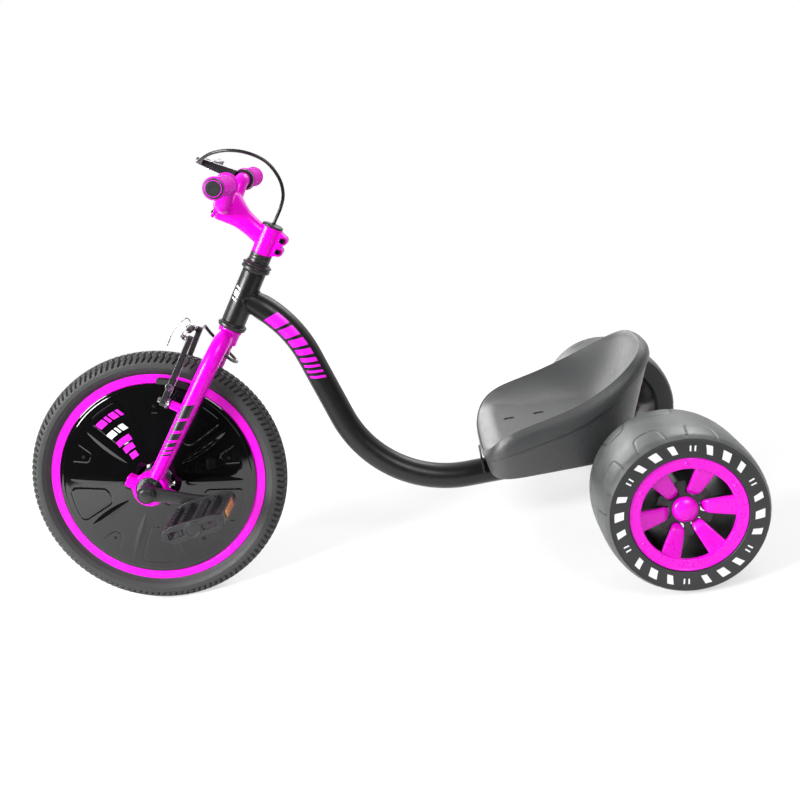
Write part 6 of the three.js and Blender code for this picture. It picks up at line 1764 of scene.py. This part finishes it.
def makeTyre(sizes):
    # the section from bead to crown, with a row at each ridge and every millimetre under the tread; a ridge
    # is a bell curve across, and a groove lowers the skin by its depth
    dense = smoothPath(sizes["tyreSide"], 1200)
    run = runLength(dense)
    fromCrown, edge = run[-1] - run, sizes["treadRows"][-1]
    ridges = [float(np.interp(at, dense[:, 0], fromCrown)) for at in sizes["ridges"]]
    stops = list(np.arange(0.5, edge + 1, 1.02)) + list(np.arange(edge + 2.4, run[-1], 2.8))
    stops += [at + step for at in ridges for step in (-0.7, 0, 0.7)] + [float(run[-1])]
    stops = sorted(set(stops), reverse=True)
    half = np.stack([np.interp(stops, fromCrown[::-1], dense[::-1, i]) for i in (0, 1)], -1)
    raised = sum(0.4 * np.exp(-(((np.array(stops) - at) / 0.5) ** 2)) for at in ridges)
    half[:, 1] = np.minimum(half[:, 1] + raised, sizes["tyreHalf"] - 0.02)
    inner = np.array(sizes["tyreInside"])
    outer = np.concatenate([half, (half * [1, -1])[::-1]])
    profile = np.concatenate([outer, inner * [1, -1], inner[::-1]])
    across = np.concatenate([stops, stops[::-1]])[:, None]
    turn = np.linspace(0, 2 * np.pi, 7 * sizes["blocks"], endpoint=False)
    radius, y = profile[:, :1] + 0 * turn, profile[:, 1:2] + 0 * turn
    groove, count = np.zeros_like(radius), len(half)
    groove[:count] = treadGrooves(sizes, turn[None], across[:count])
    groove[count : 2 * count] = treadGrooves(sizes, turn[None] + np.pi / sizes["blocks"], across[count:])
    # a groove goes in square to the tyre's skin: down on the crown, and inwards on the shoulder
    lean = np.clip((across - 8) / 22, 0, 1) * np.pi / 2.2
    lean = np.concatenate([lean, np.zeros((2 * len(inner), 1))])
    radius = radius - groove * sizes["treadDepth"] * np.cos(lean)
    y = y - np.sign(y) * groove * sizes["treadDepth"] * np.sin(lean)
    points = np.stack([radius * np.sin(turn), y, radius * np.cos(turn)], -1)
    shell = gridShell(points, closeAlong=True, ends=False)
    # painted shade: the grooves are drawn darker as well as cut in
    shell["shade"] = 0.85 * groove.ravel()
    makePiece(
        "frontTyre", shell, frontWheel, "front_wheel", "front_tyre", "tread_rubber", tyreRubber, sharp=40,
    )


def makeRim(sizes):
    # a well between two walls with a worn band and a flange, turned round the axle; the valve points inwards
    r, band, half, well = sizes["rimRadius"], sizes["bandInner"], sizes["rimHalf"], sizes["well"]
    wall = [[well, half - 4], [band - 0.6, half - 0.6], [band + 0.4, half], [band + 1.6, half]]
    wall += [[band + 1.9, half - 0.25], [band + 2.3, half - 0.25], [band + 2.6, half], [r - 1.6, half]]
    wall += [[r - 0.4, half - 0.2], [r, half - 0.7], [r - 0.3, half - 1.1], [r - 2.4, half - 1.6]]
    wall += [[r - 5.4, half - 2], [r - 9.7, half - 2]]
    rim = turned(wall[::-1] + [[a, -b] for a, b in wall], 360)
    makePiece("frontRim", rim, frontWheel, "front_wheel", "front_rim", "magenta_rim", magentaRim)
    valve = knobTurned([[0, -2], [3.2, -2], [3.2, 1.2], [2.4, 2], [1.6, 2.4], [1.6, 9], [0, 9]], 18, 0.3)
    valve = shifted(shifted(alongZ(valve), turnX=math.pi, z=well - 0.4), turnY=rad(200))
    makePiece("tyreValve", valve, frontWheel, "front_wheel", "front_rim", "magenta_rim", brightSteel)


def makeHub(sizes):
    # a turned hub with its spindle; the spokes lean by turns with and against the wheel's turning
    wall = [[17, 21.5], [19, 22], [23.2, 23.3], [24, 24], [24, 26], [23.2, 26.7], [17, 27.2], [15.4, 28]]
    wall += [
        [15, 29.5], [15, 31.5], [12.4, 33], [11.4, 36.4], [11, 37.4], [11, 66.6], [10.2, 67.4], [0, 67.4],
    ]
    barrel = [[16.4, -16], [14.6, -10], [14.4, 0], [14.6, 10], [16.4, 16]]
    shells = [knobTurned([[r, -y] for r, y in wall[::-1]] + barrel + wall, 72)]
    along, reach = np.linspace(0, 1, 12)[:, None], 144.1
    width = np.interp(along[:, 0], [0, 0.84, 0.86, 1], [1.15, 1.15, 1.9, 1.9])
    for end, first in ((1, 0.25), (-1, 0.75)):
        for k in range(sizes["spokes"]):
            turn = (k + first) * 2 * math.pi / sizes["spokes"]
            lead = turn + rad(35) * (1 if k % 2 else -1)
            start = np.array([21 * math.sin(turn), end * 25, 21 * math.cos(turn)])
            stop = np.array([reach * math.sin(lead), end * 4, reach * math.cos(lead)])
            shells.append(swept(start + (stop - start) * along, width, 12))
    makePiece("frontHub", shells, frontWheel, "front_wheel", "front_hub", "bare_steel", brightSteel)


def coverHeight(sizes, turn, radius):
    # a cone from the hole to a flat band, in sectors with a lens-shaped crease between each two: by turns a
    # sector holds a closed rounded wedge, and a screw with an outline that opens towards the rim.
    # A crease is a roof: its height falls evenly to each side, and swells along the radius by half a sine
    cone = np.interp(radius, [30, 40, 89.2, 136, 141, 148.6], [30.6, 30.4, 24.3, 18.2, 17.2, 15.9])
    pitch = 2 * np.pi / sizes["sectors"]
    sector = (turn - sizes["firstCrease"]) / pitch
    place = sector % 1
    toCrease = np.minimum(place, 1 - place) * pitch * radius
    swell = np.sin(np.pi * np.clip((radius - 50) / 82, 0, 1)) ** 0.8
    crease = 1.7 * swell * np.clip(1 - toCrease / (0.8 + 5.2 * swell), 0, 1)
    sag = 0.5 * swell * (1 - (2 * place - 1) ** 2)
    a = np.abs(place - 0.5) * pitch * radius

    def outlined(over, beyond, corner):
        # how far a place is outside straight sides with rounded corners, as a bell curve across the line
        over, beyond = over + corner, beyond + corner
        gap = np.hypot(np.maximum(over, 0), np.maximum(beyond, 0))
        gap = gap + np.minimum(np.maximum(over, beyond), 0) - corner
        return np.exp(-((gap / 1.15) ** 2))

    wedge = outlined(0.96 * (a - 0.3 * radius + 11), np.abs(radius - 103) - 30, 9)
    opened = outlined(a - 7 - 0.28 * (radius - 104), np.abs(radius - 124) - 20, 5)
    opened = opened * np.clip((130 - radius) / 3, 0, 1)
    line = np.where(np.floor(sector) % 2 == 0, wedge, opened)
    rib = 0.45 * np.exp(-(((radius - 143.4) / 0.9) ** 2))
    return cone + crease - sag - 0.6 * line + rib, line


def makeCover(name, side, sizes):
    # outer face by coverHeight, a lip, and the same face let down by the sheet's thickness for the inside
    turn = np.linspace(0, 2 * np.pi, 720, endpoint=False)
    hole, sheet = sizes["coverHole"], sizes["coverSheet"]
    rim = [137.5, 139, 140.5, 142, 142.8, 143.4, 144, 144.8, 146.4, 147.8]
    radius = np.concatenate([[hole + 0.2, hole + 0.8], np.linspace(hole + 2, 136, 84), rim])
    outside = radius[:, None] + 0 * turn
    high, line = coverHeight(sizes, turn[None], outside)
    edge = np.array([[148.5]]) + 0 * turn
    lip = coverHeight(sizes, turn[None], edge)[0]
    coarse = np.concatenate([[0, 1], np.arange(4, 84, 8), [88, 92, 95]])[::-1]
    rows = [
        (outside, high), (edge, lip - 0.3), (edge, lip - sheet), (outside[coarse], high[coarse] - sheet),
    ]
    radius, across = (np.concatenate(part) for part in zip(*rows))
    points = np.stack([radius * np.sin(turn), side * across, radius * np.cos(turn)], -1)
    cover = gridShell(points, closeAlong=True, ends=False)
    # painted shade: the moulded outlines are drawn darker as well as pressed in
    cover["shade"][: line.size] = 0.8 * line.ravel()
    body, node, slot = "front_wheel", name + "_wheel_cover", "gloss_black_sheet"
    makePiece(name + "WheelCover", cover, frontWheel, body, node, slot, glossSheet, sharp=20)
    shells = []
    for k in range(sizes["sectors"] // 2):
        angle = sizes["firstCrease"] + (2 * k + 1.5) * 2 * np.pi / sizes["sectors"]
        at = float(sizes["screwRadius"])
        rise = float(coverHeight(sizes, np.array(angle), np.array(at))[0])
        head = [[0, -1], [2.6, -1], [2.6, 0.3], [2.1, 1], [0.9, 1.1], [0.7, 0.5], [0, 0.5]]
        screw = facing(knobTurned([[r, rise + y] for r, y in head], 16), side)
        shells.append(shifted(screw, x=at * math.sin(angle), z=at * math.cos(angle)))
    makePiece(name + "CoverScrews", shells, frontWheel, body, node, slot, blackenedSteel)
    printCover(name, side, sizes)


def printCover(name, side, sizes):
    # printed blocks in one wedge sector: bars that narrow towards the hub, under two rows of slanted blocks
    middle = sizes["firstCrease"] + np.pi / sizes["sectors"]

    def onCover(along, radius, lift):
        turn = middle + along / radius
        across = coverHeight(sizes, turn, radius)[0] + lift
        return np.stack([radius * np.sin(turn), side * across, radius * np.cos(turn)], -1)

    def block(low, high, left, right, slant=0.0):
        lean = slant * (high - low)
        corners = [(left, low), (right, low), (right + lean, high), (left + lean, high)]
        return printed(onCover, corners, 0.14, (8, 5))

    pink = [block(r, r + tall, -half, half) for r, tall, half in ((48, 9, 6), (61, 9, 9), (74, 9, 12))]
    pink += [block(112, 123, at, at + wide, 0.35) for at, wide in ((-24, 5), (-16, 10), (-3, 5), (5, 14))]
    white = [block(91, 101, at, at + wide, 0.35) for at, wide in ((-17, 9), (-5, 4), (2, 13))]
    for kind, blocks, ink in (("Pink", pink, magentaInk), ("White", white, whiteInk)):
        piece = name + "Cover" + kind + "Print"
        makePiece(piece, blocks, frontWheel, "front_wheel", None, "gloss_black_sheet", ink, sharp=60)


makeTyre(wheelSizes)
makeRim(wheelSizes)
makeHub(wheelSizes)
for name, side in sides.items():
    makeCover(name, side, wheelSizes)
print("front wheel made")

# drive: forged cranks pressed on the spindle's square ends, and moulded pedals on the cranks' own spindles
driveSizes = {
    "length": 89,
    "drop": rad(18.4),
    "tilt": rad(6),
    "bossRadius": 13.4,
    "inner": 68,
    "outer": 85,
    "armInner": 72,
    "armThick": 9,
    "swing": 4,
    "eyeRadius": 9.6,
    "spindle": 4,
    "pedalInner": 89,
    "pedalOuter": 178,
    "pedalHalf": 46,
    "pedalTall": 12.5,
}


def makeCrank(name, place, sizes):
    # a soft rectangle carried from the boss to the eye, narrowing evenly between stations and swinging out
    reach = np.linspace(0, 1, 40)[:, None]
    half = np.interp(reach, [0, 0.3, 0.75, 1], [11.5, 9.5, 8.5, 9.0])
    x, y = softBox(np.linspace(0, 2 * np.pi, 40, endpoint=False), 0.62)
    thick, length = sizes["armThick"] / 2, sizes["length"]
    out = sizes["armInner"] + sizes["swing"] * reach
    arm = gridShell(np.stack([-length * reach + 0 * x, out + thick + thick * x, half * y], -1))
    r, low, high = sizes["bossRadius"], sizes["inner"], sizes["outer"]
    boss = [[0, low], [r - 0.8, low], [r, low + 0.8], [r, high - 1.6], [r - 1.4, high - 0.2]]
    boss += [[r - 1.6, high + 0.6], [r - 2.2, high + 0.6], [r - 2.4, high + 0.1], [r - 3.2, high + 0.2]]
    boss += [[r - 3.6, high + 1], [r - 5.2, high + 2], [5, high + 2.7], [0, high + 3]]
    low = sizes["armInner"] + sizes["swing"]
    e, high, r = sizes["eyeRadius"], low + sizes["armThick"], sizes["spindle"]
    eye = [
        [0, low], [e - 0.8, low], [e, low + 0.8], [e, high - 0.8], [e - 0.8, high], [6, high],
        [6, high + 2.2],
    ]
    eye = knobTurned(eye + [[0, high + 2.2]], 48)
    shells = [arm, knobTurned(boss, 64), shifted(eye, x=-length)]
    makePiece(name + "Crank", shells, place, "front_wheel", name + "_crank", *blackMetal, sharp=40)
    pin = knobTurned([[0, low + 2], [r, low + 2], [r, 171.6], [3.4, 172], [0, 172]], 28)
    pin = shifted(pin, x=-length)
    makePiece(name + "PedalSpindle", pin, place, "front_wheel", name + "_crank", "black_alloy", brightSteel)


def makePedal(name, place, sizes):
    # cage: two end plates joined by four tread bars, a barrel on the spindle, a reflector in each long side
    half, tall, low, high = sizes["pedalHalf"], sizes["pedalTall"], sizes["pedalInner"], sizes["pedalOuter"]
    plan = [
        [-1, -0.1], [-0.72, -1], [0.72, -1], [1, -0.1], [0.91, 0.6], [0.6, 0.96], [-0.6, 0.96], [-0.93, 0.7],
    ]
    plan = roundCorners(np.array(plan) * [half, tall], 3.4)
    tail = (place, name + "_pedal", name + "_pedal", "black_plastic")
    plates = [drawn(plan, low, low + 4), drawn(plan, high - 4, high)]
    outer = makePiece(name + "PedalPlates", plates, *tail, blackNylon, bevel=0.8)
    windows = []
    for at in (-24.4, 24.4):
        window = roundCorners([[at - 11, -6], [at + 11, -6], [at + 11, 4], [at - 11, 4]], 2.4)
        windows.append(drawn(window, high - 8, high + 3))
    carve(outer, windows, place)
    shells = []
    for end in (-1, 1):
        for at, wide, share in ((38, 5, 7.75), (19.3, 3, 10)):
            bar = roundCorners([[-wide, -share], [wide, -share], [wide, share], [-wide, share]], 1.2, 3)
            shells.append(shifted(drawn(bar, low + 2, high - 2), x=end * at))
            stud = [[-1.6, share], [1.6, share], [0.9, share + 1.9], [-0.9, share + 1.9]]
            stud = roundCorners(stud, 0.5, 2)
            for k in range(7):
                start = low + 12 + k * 11
                shells.append(shifted(drawn(stud, start, start + 3), x=end * at))
    barrel = [[4.6, low + 0.2], [8.6, low + 0.2], [9.4, low + 1], [9.4, low + 6], [8.4, low + 10]]
    barrel += [[8.4, high - 10], [10.5, high - 6], [10.5, high - 0.3], [4.6, high - 0.3]]
    makePiece(name + "PedalCage", shells + [turned(barrel, 44)], *tail, blackNylon)
    cap = [
        [0, -3], [11.4, -3], [11.4, 0.3], [10.8, 0.7], [10, 0.7], [9.6, 0.2], [8.6, 0.1], [8.2, 0.5],
        [0, 0.6],
    ]
    cap = knobTurned([[r, high + y] for r, y in cap], 48, 0.3)
    makePiece(name + "PedalCap", cap, *tail, blackNylon)
    face = roundCorners([[43.1, -5.4], [44.4, -5.4], [44.4, 5.4], [43.1, 5.4]], 0.4, 2)
    face = drawn(face, low + 20, high - 20)
    for end, part in ((-1, "RearReflector"), (1, "FrontReflector")):
        makePiece(name + part, mirrored(face, x=end), *tail, amberReflector, bevel=0.3)


for name, side in sides.items():
    base = frontWheel if side > 0 else placeAt(frontWheel["origin"], (-1, 0, 0))
    crankPlace = turnedPlace(base, -side * driveSizes["drop"])
    pedalPlace = movedPlace(crankPlace, -driveSizes["length"], 0, 0)
    pedalPlace = turnedPlace(pedalPlace, side * (driveSizes["drop"] + driveSizes["tilt"]))
    makeCrank(name, crankPlace, driveSizes)
    makePedal(name, pedalPlace, driveSizes)
print("cranks and pedals made")

# CAD nodes that keep their own shape take the finish of what they are
keptFinishes = {
    "black steel fasteners": (blackenedSteel, ["seat_bolt_front", "seat_bolt_rear"]),
    "plated steel": (
        brightSteel,
        [
            "rear_axle", "left_axle_nut", "right_axle_nut", "left_inner_bearing", "left_outer_bearing",
            "right_inner_bearing", "right_outer_bearing", "lower_headset_bearing", "upper_headset_bearing",
            "left_front_bearing", "right_front_bearing",
        ],
    ),
}
for material, names in keptFinishes.values():
    for name in names:
        mesh = frame["nodes"][name].data
        if mesh.materials:
            mesh.materials[0] = material
        else:
            mesh.materials.append(material)

print("all pieces made")
